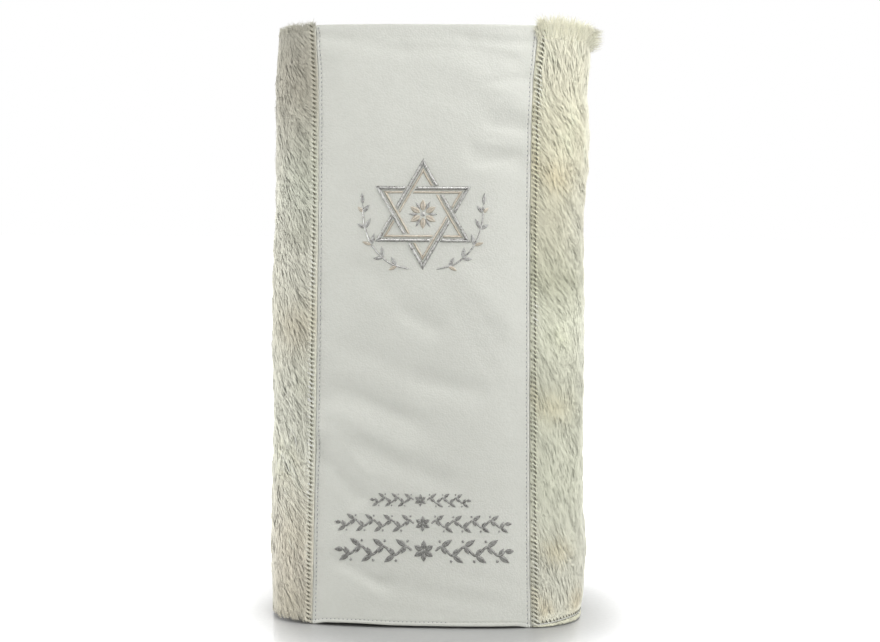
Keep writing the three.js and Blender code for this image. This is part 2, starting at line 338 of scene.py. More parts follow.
def mesh_object(name, batch, looks):
    """A mesh object of a batch, in metres and in the part's own frame."""
    mesh = bpy.data.meshes.new(name)
    points = (np.concatenate(batch.points) + ORIGIN) / 1000
    mesh.vertices.add(len(points))
    mesh.vertices.foreach_set("co", points.astype(np.float32).ravel())
    corners = np.concatenate([f.ravel() for f in batch.faces]).astype(np.int32)
    sizes = np.concatenate([np.full(len(f), f.shape[1]) for f in batch.faces])
    mesh.loops.add(len(corners))
    mesh.loops.foreach_set("vertex_index", corners)
    mesh.polygons.add(len(sizes))
    starts = np.concatenate([[0], np.cumsum(sizes)[:-1]]).astype(np.int32)
    mesh.polygons.foreach_set("loop_start", starts)
    mesh.update(calc_edges=True)
    mesh.shade_smooth()
    for look in looks:
        mesh.materials.append(look)
    piece = bpy.data.objects.new(name, mesh)
    bpy.context.scene.collection.objects.link(piece)
    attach(piece, "root")
    return piece


def set_values(piece, name, values):
    attribute = piece.data.attributes.new(name, "FLOAT", "POINT")
    attribute.data.foreach_set("value", np.ravel(values).astype(np.float32))


def set_colours(piece, name, colours):
    """Linear colours, one a point."""
    attribute = piece.data.attributes.new(name, "FLOAT_COLOR", "POINT")
    full = np.concatenate([colours, np.ones((len(colours), 1))], 1)
    attribute.data.foreach_set("color", full.astype(np.float32).ravel())


def sheet_faces(rows, columns):
    """Faces of a closed sheet whose outer grid comes first and whose inner grid follows, and the rim's."""
    inner = rows * columns
    grid = np.arange(inner).reshape(rows, columns)
    at = grid[:-1, :-1].ravel()
    outside = np.stack([at, at + 1, at + columns + 1, at + columns], -1)
    inside = np.stack([at, at + columns, at + columns + 1, at + 1], -1) + inner
    ring = np.concatenate([grid[0, :-1], grid[:-1, -1], grid[-1, :0:-1], grid[:0:-1, 0]])
    after = np.roll(ring, -1)
    rim = np.stack([ring, ring + inner, after + inner, after], -1)
    return outside, inside, rim


def closed_sheet(name, outer, inner, look, node):
    """A sheet between two grids of points, lined on its inside, in place of a node."""
    outside, lining, rim = sheet_faces(*outer.shape[:2])
    batch = Batch()
    batch.add(np.concatenate([outer.reshape(-1, 3), inner.reshape(-1, 3)]), [outside, rim, lining])
    piece = mesh_object(name, batch, [LOOKS[look], LOOKS["lining"]])
    kinds = np.repeat([0, 1], [len(outside) + len(rim), len(lining)]).astype(np.int32)
    piece.data.polygons.foreach_set("material_index", kinds)
    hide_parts(node)
    return piece


def loft(batch, rings, values=None):
    """Joins rings of points, ordered so that it faces out, into a closed skin with flat ends."""
    count, around = rings.shape[:2]
    k, m = np.meshgrid(np.arange(count - 1), np.arange(around), indexing="ij")
    after = (m + 1) % around
    quads = [k * around + m, k * around + after, (k + 1) * around + after, (k + 1) * around + m]
    quads = np.stack(quads, -1).reshape(-1, 4)
    first = np.arange(around)[None, ::-1]
    last = (count - 1) * around + np.arange(around)[None]
    batch.add(rings, [quads, first, last], values)


def copies(batch, shape, places, along, across, up):
    """Puts copies of a small shape at places, turned to three directions that are given for each."""
    points, faces = shape
    made = places[:, None] + np.einsum("mk,nkc->nmc", points, np.stack([along, across, up], 1))
    shift = np.arange(len(places))[:, None, None] * len(points)
    batch.add(made, [(f[None] + shift).reshape(-1, f.shape[1]) for f in faces])


def pebble(length, width, height, around=6, rings=5):
    """A small long rounded shape, for a stitch or a knot."""
    batch = Batch()
    t = np.linspace(-1, 1, rings)
    size = np.sqrt(1 - (t * 0.93) ** 2)
    turn = -np.arange(around) * 2 * np.pi / around
    x = np.broadcast_to(t[:, None] * length / 2, (rings, around))
    y = size[:, None] * np.cos(turn) * width / 2
    z = size[:, None] * np.sin(turn) * height / 2
    loft(batch, np.stack([x, y, z], -1))
    return np.concatenate(batch.points), batch.faces


# Materials


class Wires:
    """Adds nodes to a material's tree."""

    def __init__(self, tree):
        self.tree = tree

    def node(self, kind, inputs=None, **settings):
        node = self.tree.nodes.new("ShaderNode" + kind)
        for key, value in settings.items():
            setattr(node, key, value)
        for key, value in (inputs or {}).items():
            self.feed(node.inputs[key], value)
        return node

    def feed(self, socket, value):
        if isinstance(value, bpy.types.NodeSocket):
            self.tree.links.new(value, socket)
        else:
            socket.default_value = value

    def math(self, operation, *values):
        return self.node("Math", dict(enumerate(values)), operation=operation).outputs[0]

    def place(self):
        return self.node("TexCoord").outputs["Object"]

    def stretched(self, scale):
        return self.node("Mapping", {"Vector": self.place(), "Scale": scale}).outputs[0]

    def noise(self, where, scale, detail=3.0):
        return self.node("TexNoise", {"Vector": where, "Scale": scale, "Detail": detail}).outputs["Fac"]

    def cells(self, where, scale):
        inputs = {"Vector": where, "Scale": scale, "Smoothness": 0.35}
        return self.node("TexVoronoi", inputs, feature="SMOOTH_F1").outputs["Distance"]

    def value(self, name):
        return self.node("Attribute", attribute_name=name).outputs["Fac"]

    def colour(self, name):
        return self.node("Attribute", attribute_name=name).outputs["Color"]

    def spread(self, value, low, high, start=0.3, end=0.7):
        names = ["Value", "From Min", "From Max", "To Min", "To Max"]
        return self.node("MapRange", dict(zip(names, [value, start, end, low, high]))).outputs[0]

    def blend(self, factor, a, b, kind="MIX"):
        node = self.node("Mix", data_type="RGBA", blend_type=kind)
        for key, value in ((0, factor), (6, a), (7, b)):
            self.feed(node.inputs[key], value)
        return node.outputs[2]

    def bump(self, height, strength, distance):
        inputs = {"Height": height, "Strength": strength, "Distance": distance}
        return self.node("Bump", inputs).outputs[0]


def new_look(name, **sockets):
    """A material with its Principled shader, whose plain values are set on the shader's own sockets."""
    look = bpy.data.materials.new(name)
    look.use_nodes = True
    shader = look.node_tree.nodes["Principled BSDF"]
    for socket, value in sockets.items():
        shader.inputs[socket.replace("_", " ")].default_value = value
    return look, Wires(look.node_tree), shader


STITCH_PITCH = 4.6
STITCH_FROM_SEAM = 3.3
HEM_STITCH = {"above": 4.6, "pitch": 4.4}
# The distance from a seam that leather away from any seam is given
FAR_FROM_SEAM = 40


def leather_look():
    """White pebbled leather, with dimples and small puckers along its rows of stitches, and a painted
    highlight along its edges at the seams.
    """
    look, w, shader = new_look("white_leather", Roughness=0.5)
    where = w.place()
    tone = w.noise(where, 9, 4.0)
    fine = w.noise(where, 260, 2.0)
    base = w.blend(w.spread(tone, 0, 1), rgba((221, 222, 214)), rgba((228, 229, 221)))
    base = w.blend(w.spread(fine, 0, 0.5), base, rgba((218, 219, 210)))
    seam = w.value("Seam")
    # Within about 2 mm of a seam the colour turns paler: a painted highlight on the rolled edge.
    painted_edge_highlight = w.spread(seam, 1, 0, 0.6, 2.2)
    w.feed(shader.inputs["Base Color"], w.blend(painted_edge_highlight, base, rgba((240, 241, 234))))
    w.feed(shader.inputs["Roughness"], w.spread(w.noise(where, 700, 2.0), 0.42, 0.58))
    height = w.node("SeparateXYZ", {"Vector": where}).outputs["Z"]
    turn = w.math("MULTIPLY", height, 2000 * math.pi / STITCH_PITCH)
    wave = w.math("SINE", w.math("ADD", turn, w.math("MULTIPLY", seam, 0.7)))
    away = w.math("SUBTRACT", seam, STITCH_FROM_SEAM)
    dimple = w.math("EXPONENT", w.math("MULTIPLY", w.math("POWER", away, 2.0), -1.4))
    pucker = w.math("EXPONENT", w.math("MULTIPLY", w.math("ABSOLUTE", away), -0.22))
    sewn = w.math("MULTIPLY", wave, w.math("ADD", dimple, w.math("MULTIPLY", pucker, 0.6)))
    grain = w.math("ADD", w.cells(where, 560), w.math("MULTIPLY", w.noise(where, 1500, 3.0), 0.5))
    grain = w.math("ADD", grain, w.math("MULTIPLY", w.noise(where, 150, 3.0), 0.9))
    total = w.math("ADD", grain, w.math("MULTIPLY", sewn, 0.5))
    w.feed(shader.inputs["Normal"], w.bump(total, 0.42, 0.0005))
    return look


def lining_look():
    """A cream woven lining, seen from below."""
    look, w, shader = new_look("cream_lining", Roughness=0.85)
    where = w.place()
    base = w.blend(w.spread(w.noise(where, 30), 0, 1), rgba((214, 206, 186)), rgba((224, 217, 200)))
    w.feed(shader.inputs["Base Color"], base)
    weave = {"Vector": where, "Scale": 420.0, "Distortion": 0.4}
    threads = [w.node("TexWave", weave, bands_direction=way).outputs["Fac"] for way in ("X", "Z")]
    w.feed(shader.inputs["Normal"], w.bump(w.math("MULTIPLY", *threads), 0.4, 0.0004))
    return look


def hair_look():
    """Hair whose colour comes from each strand's own tint."""
    look, w, shader = new_look("hide_hair", Roughness=0.62)
    shader.inputs["Specular IOR Level"].default_value = 0.3
    shader.inputs["Sheen Weight"].default_value = 0.3
    shader.inputs["Sheen Roughness"].default_value = 0.45
    streak = w.noise(w.stretched((1, 1, 0.25)), 900, 2.0)
    shade = w.spread(streak, 0.97, 1.03)
    w.feed(shader.inputs["Base Color"], w.blend(1.0, w.colour("Tint"), shade, "MULTIPLY"))
    w.feed(shader.inputs["Roughness"], w.spread(w.noise(w.place(), 500, 2.0), 0.55, 0.72))
    w.feed(shader.inputs["Normal"], w.bump(streak, 0.06, 0.0003))
    return look


THREAD = {"pitch": 0.46, "edge_shade": 0.7}


def thread_look(name, dark, light, roughness, metal=0.0):
    """Shiny thread laid side by side, across the direction that the Along value grows in."""
    look, w, shader = new_look(name, Roughness=roughness, Metallic=metal)
    shader.inputs["Specular IOR Level"].default_value = 0.6
    along = w.value("Along")
    thread = w.math("SINE", w.math("MULTIPLY", along, 2 * math.pi / THREAD["pitch"]))
    uneven = w.noise(w.place(), 420, 2.0)
    # Stripes along the threads and blotches of noise spread the colour between dark and light: painted
    # highlights and shade of the shiny thread, together with some uneven tone.
    factor = w.math("ADD", w.math("MULTIPLY", thread, 0.22), uneven)
    base = w.blend(w.spread(factor, 0, 1, 0, 1), rgba(dark), rgba(light))
    # Towards the edges of the satin and down the leaves' creases the edge value darkens the thread towards
    # (84, 82, 78): painted shade.
    edge = w.math("MULTIPLY", w.value("EdgeShade"), THREAD["edge_shade"])
    w.feed(shader.inputs["Base Color"], w.blend(edge, base, rgba((84, 82, 78))))
    w.feed(shader.inputs["Roughness"], w.spread(uneven, roughness - 0.07, roughness + 0.08))
    w.feed(shader.inputs["Normal"], w.bump(w.math("ADD", thread, uneven), 0.25, 0.00016))
    return look


LOOKS = {
    "leather": leather_look(),
    "lining": lining_look(),
    "hair": hair_look(),
    "silver": thread_look("silver_thread", (132, 130, 126), (246, 246, 243), 0.3, 0.8),
    # The leaf rows are the same silver thread as the star, in a darker copy: painted shade.
    "dark_silver": thread_look("shaded_silver_thread", (88, 86, 82), (212, 212, 208), 0.3, 0.8),
    "champagne": thread_look("champagne_thread", (192, 176, 150), (246, 240, 228), 0.36, 0.5),
    "white": thread_look("white_thread", (214, 214, 206), (232, 232, 226), 0.5),
    # The stitch holes are grey pebbles: painted shade in the holes.
    "shade": thread_look("grey_hole_shade", (146, 146, 148), (172, 172, 174), 0.6),
    # Olive thread, whose dark colour in the pits is also painted shade.
    "olive": thread_look("olive_thread_and_shade", (92, 91, 75), (124, 122, 103), 0.7),
}


# Camera, light and floor

CAMERA = {
    "distance": 1770,
    "height": 414,
    "azimuth": 2.2,
    "yaw": 0.35,
    "tilt": 3.248,
    "roll": 0.4,
    "focal": 1646.4,
    "picture_width": 880,
    "sensor": 36,
}


def make_camera():
    turn, yaw, tilt, roll = (math.radians(CAMERA[k]) for k in ("azimuth", "yaw", "tilt", "roll"))
    place = np.array([math.sin(turn), -math.cos(turn), 0]) * CAMERA["distance"]
    place[2] = CAMERA["height"]
    facing = -turn + yaw
    flat = Vector((math.sin(facing), math.cos(facing), 0))
    side = Vector((flat.y, -flat.x, 0))
    ahead = flat * math.cos(tilt) - Vector((0, 0, math.sin(tilt)))
    above = side.cross(ahead)
    right = side * math.cos(roll) + above * math.sin(roll)
    up = above * math.cos(roll) - side * math.sin(roll)
    data = bpy.data.cameras.new("camera")
    data.sensor_width = CAMERA["sensor"]
    data.lens = CAMERA["focal"] / CAMERA["picture_width"] * CAMERA["sensor"]
    data.clip_start, data.clip_end = 0.05, 200
    camera = bpy.data.objects.new("camera", data)
    turned = Matrix((right, up, -ahead)).transposed().to_4x4()
    camera.matrix_world = Matrix.Translation(Vector((place + ORIGIN) / 1000)) @ turned
    bpy.context.scene.collection.objects.link(camera)
    bpy.context.scene.camera = camera


def soft_box(name, place, aim, size, power):
    data = bpy.data.lights.new(name, "AREA")
    data.shape = "RECTANGLE"
    data.size, data.size_y = size
    data.energy = power
    light = bpy.data.objects.new(name, data)
    light.location = place
    light.rotation_euler = (Vector(aim) - Vector(place)).to_track_quat("-Z", "Y").to_euler()
    bpy.context.scene.collection.objects.link(light)


# Name, place, size and power of each light, in metres and watts
LIGHTS = [
    ("key_light", (1.3, -1.25, 1.4), (0.9, 1.1), 7),
    ("front_light", (0.5, -2.1, 1.0), (1.3, 1.0), 8),
    ("top_light", (0.4, -0.6, 1.6), (0.9, 0.6), 8.5),
    ("fill_light", (-1.5, -1.5, 0.5), (1.2, 1.0), 1),
    ("side_light_left", (-1.9, -0.1, 0.45), (0.9, 1.4), 30),
    ("side_light_right", (1.9, -0.35, 0.45), (0.9, 1.4), 13.5),
    ("back_light_left", (-0.9, 1.9, 1.1), (1.1, 1.3), 17.5),
    ("back_light_right", (0.9, 1.9, 1.1), (1.1, 1.3), 32),
]
LIT_PLACE = (0, 0, 0.31)
WORLD_LIGHT = 0.3
FLOOR_GLOW = {"from": 0.13, "to": 0.36, "strength": 1.0}


def make_light():
    for name, place, size, power in LIGHTS:
        soft_box(name, place, LIT_PLACE, size, power)
    world = bpy.data.worlds.new("studio")
    bpy.context.scene.world = world
    world.use_nodes = True
    w = Wires(world.node_tree)
    seen = world.node_tree.nodes["Background"]
    seen.inputs["Color"].default_value = (1, 1, 1, 1)
    seen.inputs["Strength"].default_value = 1.0
    lit = w.node("Background", {"Color": (1, 1, 1, 1), "Strength": WORLD_LIGHT})
    ray = w.node("LightPath").outputs["Is Camera Ray"]
    both = w.node("MixShader", {0: ray, 1: lit.outputs[0], 2: seen.outputs[0]})
    output = world.node_tree.nodes["World Output"]
    world.node_tree.links.new(both.outputs[0], output.inputs["Surface"])


def make_floor():
    """A pale floor that is plain white further off, so that it meets the backdrop without a line."""
    batch = Batch()
    rings = np.array([0, 0.3, 0.6, 1.2, 3, 10, 60]) * 1000 + 1
    around = 64
    turn = np.arange(around) * 2 * np.pi / around
    points = [np.stack([r * np.cos(turn), r * np.sin(turn), 0 * turn - 0.2], -1) for r in rings]
    k, m = np.meshgrid(np.arange(len(rings) - 1), np.arange(around), indexing="ij")
    after = (m + 1) % around
    inner, outer = k * around, (k + 1) * around
    quads = np.stack([inner + m, outer + m, outer + after, inner + after], -1)
    batch.add(np.stack(points), [quads.reshape(-1, 4), np.arange(around)[None]])
    look, w, shader = new_look("pale_floor", Roughness=0.35)
    where = w.place()
    away = w.node("VectorMath", {0: where}, operation="LENGTH").outputs["Value"]
    near, far, strength = (FLOOR_GLOW[k] for k in ("from", "to", "strength"))
    glow = {"Value": away, "From Min": near, "From Max": far, "To Max": strength}
    glow = w.node("MapRange", glow, interpolation_type="SMOOTHSTEP").outputs[0]
    speck = w.blend(w.noise(where, 300), rgba((181, 182, 181)), rgba((185, 185, 184)))
    w.feed(shader.inputs["Base Color"], speck)
    w.feed(shader.inputs["Roughness"], w.spread(w.noise(where, 200), 0.3, 0.4))
    w.feed(shader.inputs["Emission Color"], rgba((255, 255, 255)))
    seen = w.node("LightPath").outputs["Is Camera Ray"]
    w.feed(shader.inputs["Emission Strength"], w.math("MULTIPLY", glow, seen))
    w.feed(shader.inputs["Normal"], w.bump(w.noise(where, 60), 0.01, 0.0005))
    floor = mesh_object("floor", batch, [look])
    floor.parent = None
    del floor["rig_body"]


# Leather

# Distance from an edge, at the sides, the top and the hem, then how far the leather stands out there
EDGE_PROFILE = [
    (0, -0.4),
    (0.15, -0.1),
    (0.4, 0.12),
    (0.8, 0.24),
    (1.5, 0.3),
    (2.4, 0.2),
    (3.0, -0.1),
    (3.4, -0.26),
    (3.8, -0.1),
    (4.4, 0.14),
    (6, 0.1),
    (9, 0),
]
TOP_PROFILE = [(0, -0.9), (0.3, -0.35), (0.8, -0.08), (1.5, 0), (3, 0)]
HEM_PROFILE = [
    (0, -1.0),
    (0.3, -0.3),
    (0.8, 0.15),
    (1.8, 0.45),
    (3.2, 0.38),
    (4.2, -0.12),
    (4.6, -0.3),
    (5.0, -0.15),
    (6, 0.15),
    (9, 0.06),
    (14, 0),
]
NEAR_EDGE = [0, 0.15, 0.4, 0.8, 1.5, 2.4, 3.0, 3.4, 3.8, 4.4, 5.2, 6.4, 8]
NEAR_HEM = [0, 0.3, 0.8, 1.5, 2.4, 3.3, 4.1, 4.6, 5.1, 5.9, 7.2, 9, 11]
NEAR_TOP = [3, 1.5, 0.8, 0.3, 0]


def hem_lift(wall, s, x):
    """How far the front's lower edge is off the floor. The back's edge rests on it."""
    if wall != "front":
        return 0 * s
    start, end = wall_ends(wall, 0.0)
    every = HEM_LIFT["all"] * smooth(np.minimum(s - start, end - s) / HEM_LIFT["ends"])
    return every + HEM_LIFT["more"] * np.exp(-(((x - HEM_LIFT["x"]) / HEM_LIFT["reach"]) ** 2))


def leather_folds(wall, x, z):
    """Folds and soft unevenness of a leather wall."""
    seed = 3 if wall == "front" else 8
    calm = smooth((HEIGHT - z) / FOLDS_END["outside"])
    uneven = 0.2 * soft_noise(x, z, 75, seed) + 0.09 * soft_noise(x, z * 1.6, 24, seed + 1)
    tops = smooth((z - 520) / 70) * 0.05 * soft_noise(x * 0.6, z * 1.5, 11, seed + 2)
    total = uneven + tops
    if wall == "front":
        total = total + FOLD_SHARE * segment_heights(FOLDS, x, z) + segment_heights(CREASES, x, z)
    return total * calm


def leather_out(wall, s, z):
    """How far the outer face stands off the skin, without its edges' profiles."""
    return leather_folds(wall, plan_point(s)[0], z)


def leather_wall(name, wall, step, node):
    """A closed sheet of leather between two seams, with curled edges and a sewn hem."""
    z = np.concatenate([NEAR_HEM, np.arange(13.5, HEIGHT - 4.5, step), HEIGHT - np.array(NEAR_TOP)])
    start, end = (e + way * GAP / 2 for e, way in zip(wall_ends(wall, z), (1, -1)))
    middle = np.linspace(0, 1, int((end[0] - start[0] - 16) / step) + 2)[1:-1]
    near = np.array(NEAR_EDGE)
    inner_span = (end - start - 2 * near[-1])[:, None]
    s = np.concatenate(
        [
            start[:, None] + near,
            start[:, None] + near[-1] + inner_span * middle,
            end[:, None] - near[::-1],
        ],
        1,
    )
    level = np.broadcast_to(z[:, None], s.shape)
    seam = np.minimum(s - start[:, None], end[:, None] - s)
    x = plan_point(s)[0]
    folds = leather_folds(wall, x, level)
    profile = (
        read_table(EDGE_PROFILE, 1, seam)
        + read_table(TOP_PROFILE, 1, HEIGHT - level)
        + read_table(HEM_PROFILE, 1, level)
    )
    inside = folds * smooth((HEIGHT - level - FOLDS_END["outside"]) / FOLDS_END["inside"])
    inside = inside - LEATHER - HEM["extra"] * smooth((HEM["height"] - level) / HEM["height"] + 0.5)
    lifted = level + hem_lift(wall, s, x) * clamp(1 - level / 30)
    outer = skin_point(s, level, np.maximum(folds + profile, inside + 0.5))
    inner = skin_point(s, level, inside)
    for grid in (outer, inner):
        grid[..., 2] = lifted
    piece = closed_sheet(name, outer, inner, "leather", node)
    set_values(piece, "Seam", np.concatenate([seam.ravel(), seam.ravel() + FAR_FROM_SEAM]))
    return piece


def front_frame(wall, s, z, out):
    """Points on a leather wall's face, with the directions along the seam, across it and out."""
    points, normals = skin(s, z)
    points = points + normals * (leather_out(wall, s, z) + out)[:, None]
    up = upright(points)
    return points, up, np.cross(normals, up), normals


def seam_topstitches(wall, holes, threads):
    """A row of stitches beside each seam of a leather wall: the holes, as grey pebbles of painted shade,
    and the thread between them.
    """
    z = np.arange(5, HEIGHT - 2, STITCH_PITCH)
    for k, way in ((0, 1), (1, -1)):
        s = wall_ends(wall, z)[k] + way * (STITCH_FROM_SEAM + GAP / 2)
        points, along, across, out = front_frame(wall, s, z, -0.28)
        copies(holes, pebble(2.2, 1.6, 0.7, 6, 4), points, along, across, out)
        between = z[:-1] + STITCH_PITCH / 2
        s = wall_ends(wall, between)[k] + way * (STITCH_FROM_SEAM + GAP / 2)
        points, along, across, out = front_frame(wall, s, between, -0.12)
        copies(threads, pebble(2.7, 0.8, 0.6, 5, 4), points, along, across, out)


def hem_stitches(wall, holes, threads, holes_to):
    """The row of stitches above a hem. It sinks into the leather beyond holes_to."""
    start, end = wall_ends(wall, np.array(HEM_STITCH["above"]))
    s = np.arange(start + 7, end - 6, HEM_STITCH["pitch"])
    for shape, batch, places, depth in (
        (pebble(1.5, 1.2, 0.6, 6, 4), holes, s[s < holes_to], -0.26),
        (pebble(3.1, 0.8, 0.6, 5, 4), threads, s[:-1] + HEM_STITCH["pitch"] / 2, -0.2),
    ):
        x = plan_point(places)[0]
        z = np.full(len(places), HEM_STITCH["above"] * 1.0)
        points, along, across, out = front_frame(wall, places, z, depth)
        points[:, 2] += hem_lift(wall, places, x) * (1 - HEM_STITCH["above"] / 30)
        copies(batch, shape, points, across, -along, out)


def top_board():
    """The stiff top covered in leather: an oval with rounded edges and two round holes."""
    curve = bpy.data.curves.new("top_board", "CURVE")
    curve.dimensions = "2D"
    curve.fill_mode = "BOTH"
    bevel = 1.1
    curve.extrude = BOARD["thickness"] / 2000 - bevel / 1000
    curve.bevel_depth = bevel / 1000
    curve.bevel_resolution = 3
    curve.offset = -bevel / 1000
    s = np.linspace(-HALF_ROUND, HALF_ROUND, 241)[:-1]
    outline = skin_point(s, np.full(len(s), HEIGHT * 1.0), -LEATHER - GAP)[:, :2]
    turn = np.arange(64) * 2 * np.pi / 64
    circle = np.stack([np.cos(turn), np.sin(turn)], -1) * STAVE_HOLE["radius"]
    holes = [circle + (side * STAVE_HOLE["offset"], 0) for side in (-1, 1)]
    for loop in (outline, *holes):
        spline = curve.splines.new("POLY")
        spline.points.add(len(loop) - 1)
        flat = np.tile((0.0, 0.0, 0.0, 1.0), (len(loop), 1))
        flat[:, :2] = (loop + ORIGIN[:2]) / 1000
        spline.points.foreach_set("co", flat.astype(np.float32).ravel())
        spline.use_cyclic_u = True
    carrier = bpy.data.objects.new("board_outline", curve)
    bpy.context.scene.collection.objects.link(carrier)
    bpy.context.view_layer.update()
    mesh = bpy.data.meshes.new_from_object(carrier.evaluated_get(bpy.context.evaluated_depsgraph_get()))
    mesh.name = "top_board"
    bpy.data.objects.remove(carrier)
    lift = HEIGHT - BOARD["below"] - BOARD["thickness"] / 2
    mesh.transform(Matrix.Translation((0, 0, lift / 1000)))
    mesh.materials.clear()
    mesh.materials.append(LOOKS["leather"])
    piece = bpy.data.objects.new("top_board", mesh)
    bpy.context.scene.collection.objects.link(piece)
    set_values(piece, "Seam", np.full(len(mesh.vertices), FAR_FROM_SEAM))
    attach(piece, "root")
    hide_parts("top_cap")


def board_stitches(threads):
    """A bound rim round each hole and a row of stitches inside the board's edge."""
    level = HEIGHT - BOARD["below"]
    s = np.arange(-HALF_ROUND, HALF_ROUND, STITCH_PITCH)
    points = skin_point(s, np.full(len(s), level * 1.0), -LEATHER - 6)
    ahead = np.roll(points, -1, 0) - points
    rows = [(points, ahead)]
    turn = np.linspace(0, 2 * np.pi, 36, endpoint=False)
    for side in (-1, 1):
        ring = np.stack([np.cos(turn), np.sin(turn), 0 * turn], -1) * (STAVE_HOLE["radius"] + 4)
        ring = ring + (side * STAVE_HOLE["offset"], 0, level)
        rows.append((ring, np.roll(ring, -1, 0) - ring))
    for points, ahead in rows:
        along = unit(ahead)
        up = upright(points)
        copies(threads, pebble(3.2, 0.9, 0.7, 5, 4), points, along, np.cross(up, along), up)


# Hide and hair

# Height, then red, green and blue of the hair at the left side and at the right side
HAIR_TONES = {
    "left": [
        (0, 197, 194, 177),
        (76, 216, 214, 198),
        (200, 216, 217, 199),
        (325, 213, 212, 193),
        (449, 210, 210, 193),
        (560, 184, 182, 165),
        (620, 178, 176, 160),
    ],
    "right": [
        (0, 213, 213, 195),
        (76, 211, 211, 192),
        (160, 206, 208, 186),
        (263, 197, 198, 177),
        (325, 216, 218, 195),
        (366, 196, 197, 173),
        (430, 198, 196, 172),
        (510, 217, 214, 187),
        (620, 219, 217, 193),
    ],
}
# Soft patches: side, height, distance from the front seam, reach up and down, reach round, change of colour
PATCHES = [
    ("left", 570, 30, 45, 40, (0.9, 0.88, 0.86)),
    ("left", 548, 24, 14, 9, (1.1, 1.1, 1.1)),
    ("left", 470, 20, 50, 30, (0.97, 1.0, 0.97)),
    ("left", 415, 25, 14, 22, (0.87, 0.87, 0.85)),
    ("left", 320, 25, 22, 30, (0.96, 0.92, 0.87)),
    ("left", 262, 12, 16, 14, (1.05, 1.05, 1.03)),
    ("left", 178, 45, 22, 22, (1.12, 1.1, 1.02)),
    ("left", 90, 28, 60, 34, (1.0, 0.96, 0.9)),
    ("left", 30, 30, 22, 30, (0.93, 0.91, 0.87)),
    ("left", 360, 120, 70, 40, (0.92, 0.9, 0.86)),
    ("left", 130, 140, 60, 40, (1.06, 1.05, 1.02)),
    ("right", 479, 20, 14, 18, (1.03, 0.97, 0.88)),
    ("right", 520, 32, 30, 26, (1.03, 1.03, 1.01)),
    ("right", 372, 26, 12, 30, (0.9, 0.9, 0.88)),
    ("right", 314, 26, 12, 12, (1.06, 1.07, 1.02)),
    ("right", 243, 20, 14, 24, (1.02, 0.97, 0.88)),
    ("right", 92, 22, 13, 14, (1.02, 0.96, 0.86)),
    ("right", 32, 12, 14, 9, (1.02, 0.95, 0.84)),
    ("right", 34, 52, 16, 14, (0.98, 0.9, 0.78)),
    # The next two brighten narrow strips near the right side's outer edge: painted light where the edge is
    # lit from the side.
    ("right", 430, 50, 60, 16, (1.1, 1.11, 1.16)),
    ("right", 300, 70, 260, 16, (1.05, 1.05, 1.05)),
    ("right", 420, 135, 70, 40, (0.94, 0.91, 0.86)),
    ("right", 170, 120, 60, 40, (1.05, 1.04, 1.02)),
]
# Height, then the degrees by which hanging hair leans towards +s, at the left and at the right
HAIR_LEAN = [
    (0, 30, 12),
    (90, 32, 14),
    (200, 33, 12),
    (300, 34, 18),
    (370, 35, 34),
    (420, 34, 30),
    (470, 35, 34),
    (530, 38, 22),
    (580, 40, 10),
    (620, 42, 4),
]
PATCH_SHARE = 0.45
LOWEST_ROOT = 9
TUFT_PITCH = 6.4
STRAND_RIDGE = 0.8
COAT_SOFTNESS = {"left": 0.86, "right": 0.94}
ROOT_SHADE = {"left": 0.84, "right": 0.92}
STRAND_SPREAD = {"left": 0.05, "right": 0.02}
CLUMP_SPREAD = {"left": 0.022, "right": 0.012}
GATHER = {"left": 0.2, "right": 0.05}
LOOSE = {"left": 0.05, "right": 0.02}
TOP_LENGTH = {"left": 19, "right": 24}
HAIR_GAIN = (1.29, 1.28, 1.32)
SKIN_OF_HIDE = {"share": 0.58, "root": 0.12, "shade": 0.9}
PITS = {"left": 3.8, "right": 4.8, "pitch": 4.6}
# Length, width and height of the stitches in the pits and in the groove beside the right side's seams
PIT_SIZE = {"left": (4.0, 1.5, 1.1), "right": (4.6, 1.1, 1.1), "groove": (3.2, 0.9, 1.1)}
# Height, then how far the pits' stitches slant at the left and right, from 0 for upright to 1 for level
PIT_SLANT = [
    (0, 0.86, 0.66),
    (60, 0.84, 0.62),
    (120, 0.7, 0.42),
    (300, 0.45, 0.36),
    (450, 0.5, 0.36),
    (560, 0.78, 0.42),
    (HEIGHT, 0.82, 0.45),
]
GROOVE_STITCHES = {"below": 62, "away": 1.0, "share": 0.55}
PINCHED = 4.6
BAND_TINT = (214, 214, 201)
HEM_BAND = {"low": 3.2, "high": 7.4, "reach": 50, "size": 0.75, "thread_below": 1.25, "thread": 0.45}
HEM_PITS = {"pitch": 4.0, "above": 2.3}


def pile_depth(side, s, z):
    """Depth of the pile on a side. It is pinched at both seams and lumpy between them."""
    full = swelling(to_seam(side, s, z) / PILE_RAMP)
    quiet = smooth(np.minimum(z, HEIGHT - z) / LUMP["quiet"] - 0.6)
    wave = np.sin(s * 2 * np.pi / LUMP["across"] + z / 21) * np.sin(z * 2 * np.pi / LUMP["along"])
    swell = np.sin(s / 13 - z / 37) * 0.6
    bulge = read_table(SIDE_BULGES, 1 if side == "left" else 2, z)
    return mix(PILE_AT_SEAM, PILE + bulge, full) + LUMP["height"] * (wave + swell) * full * quiet


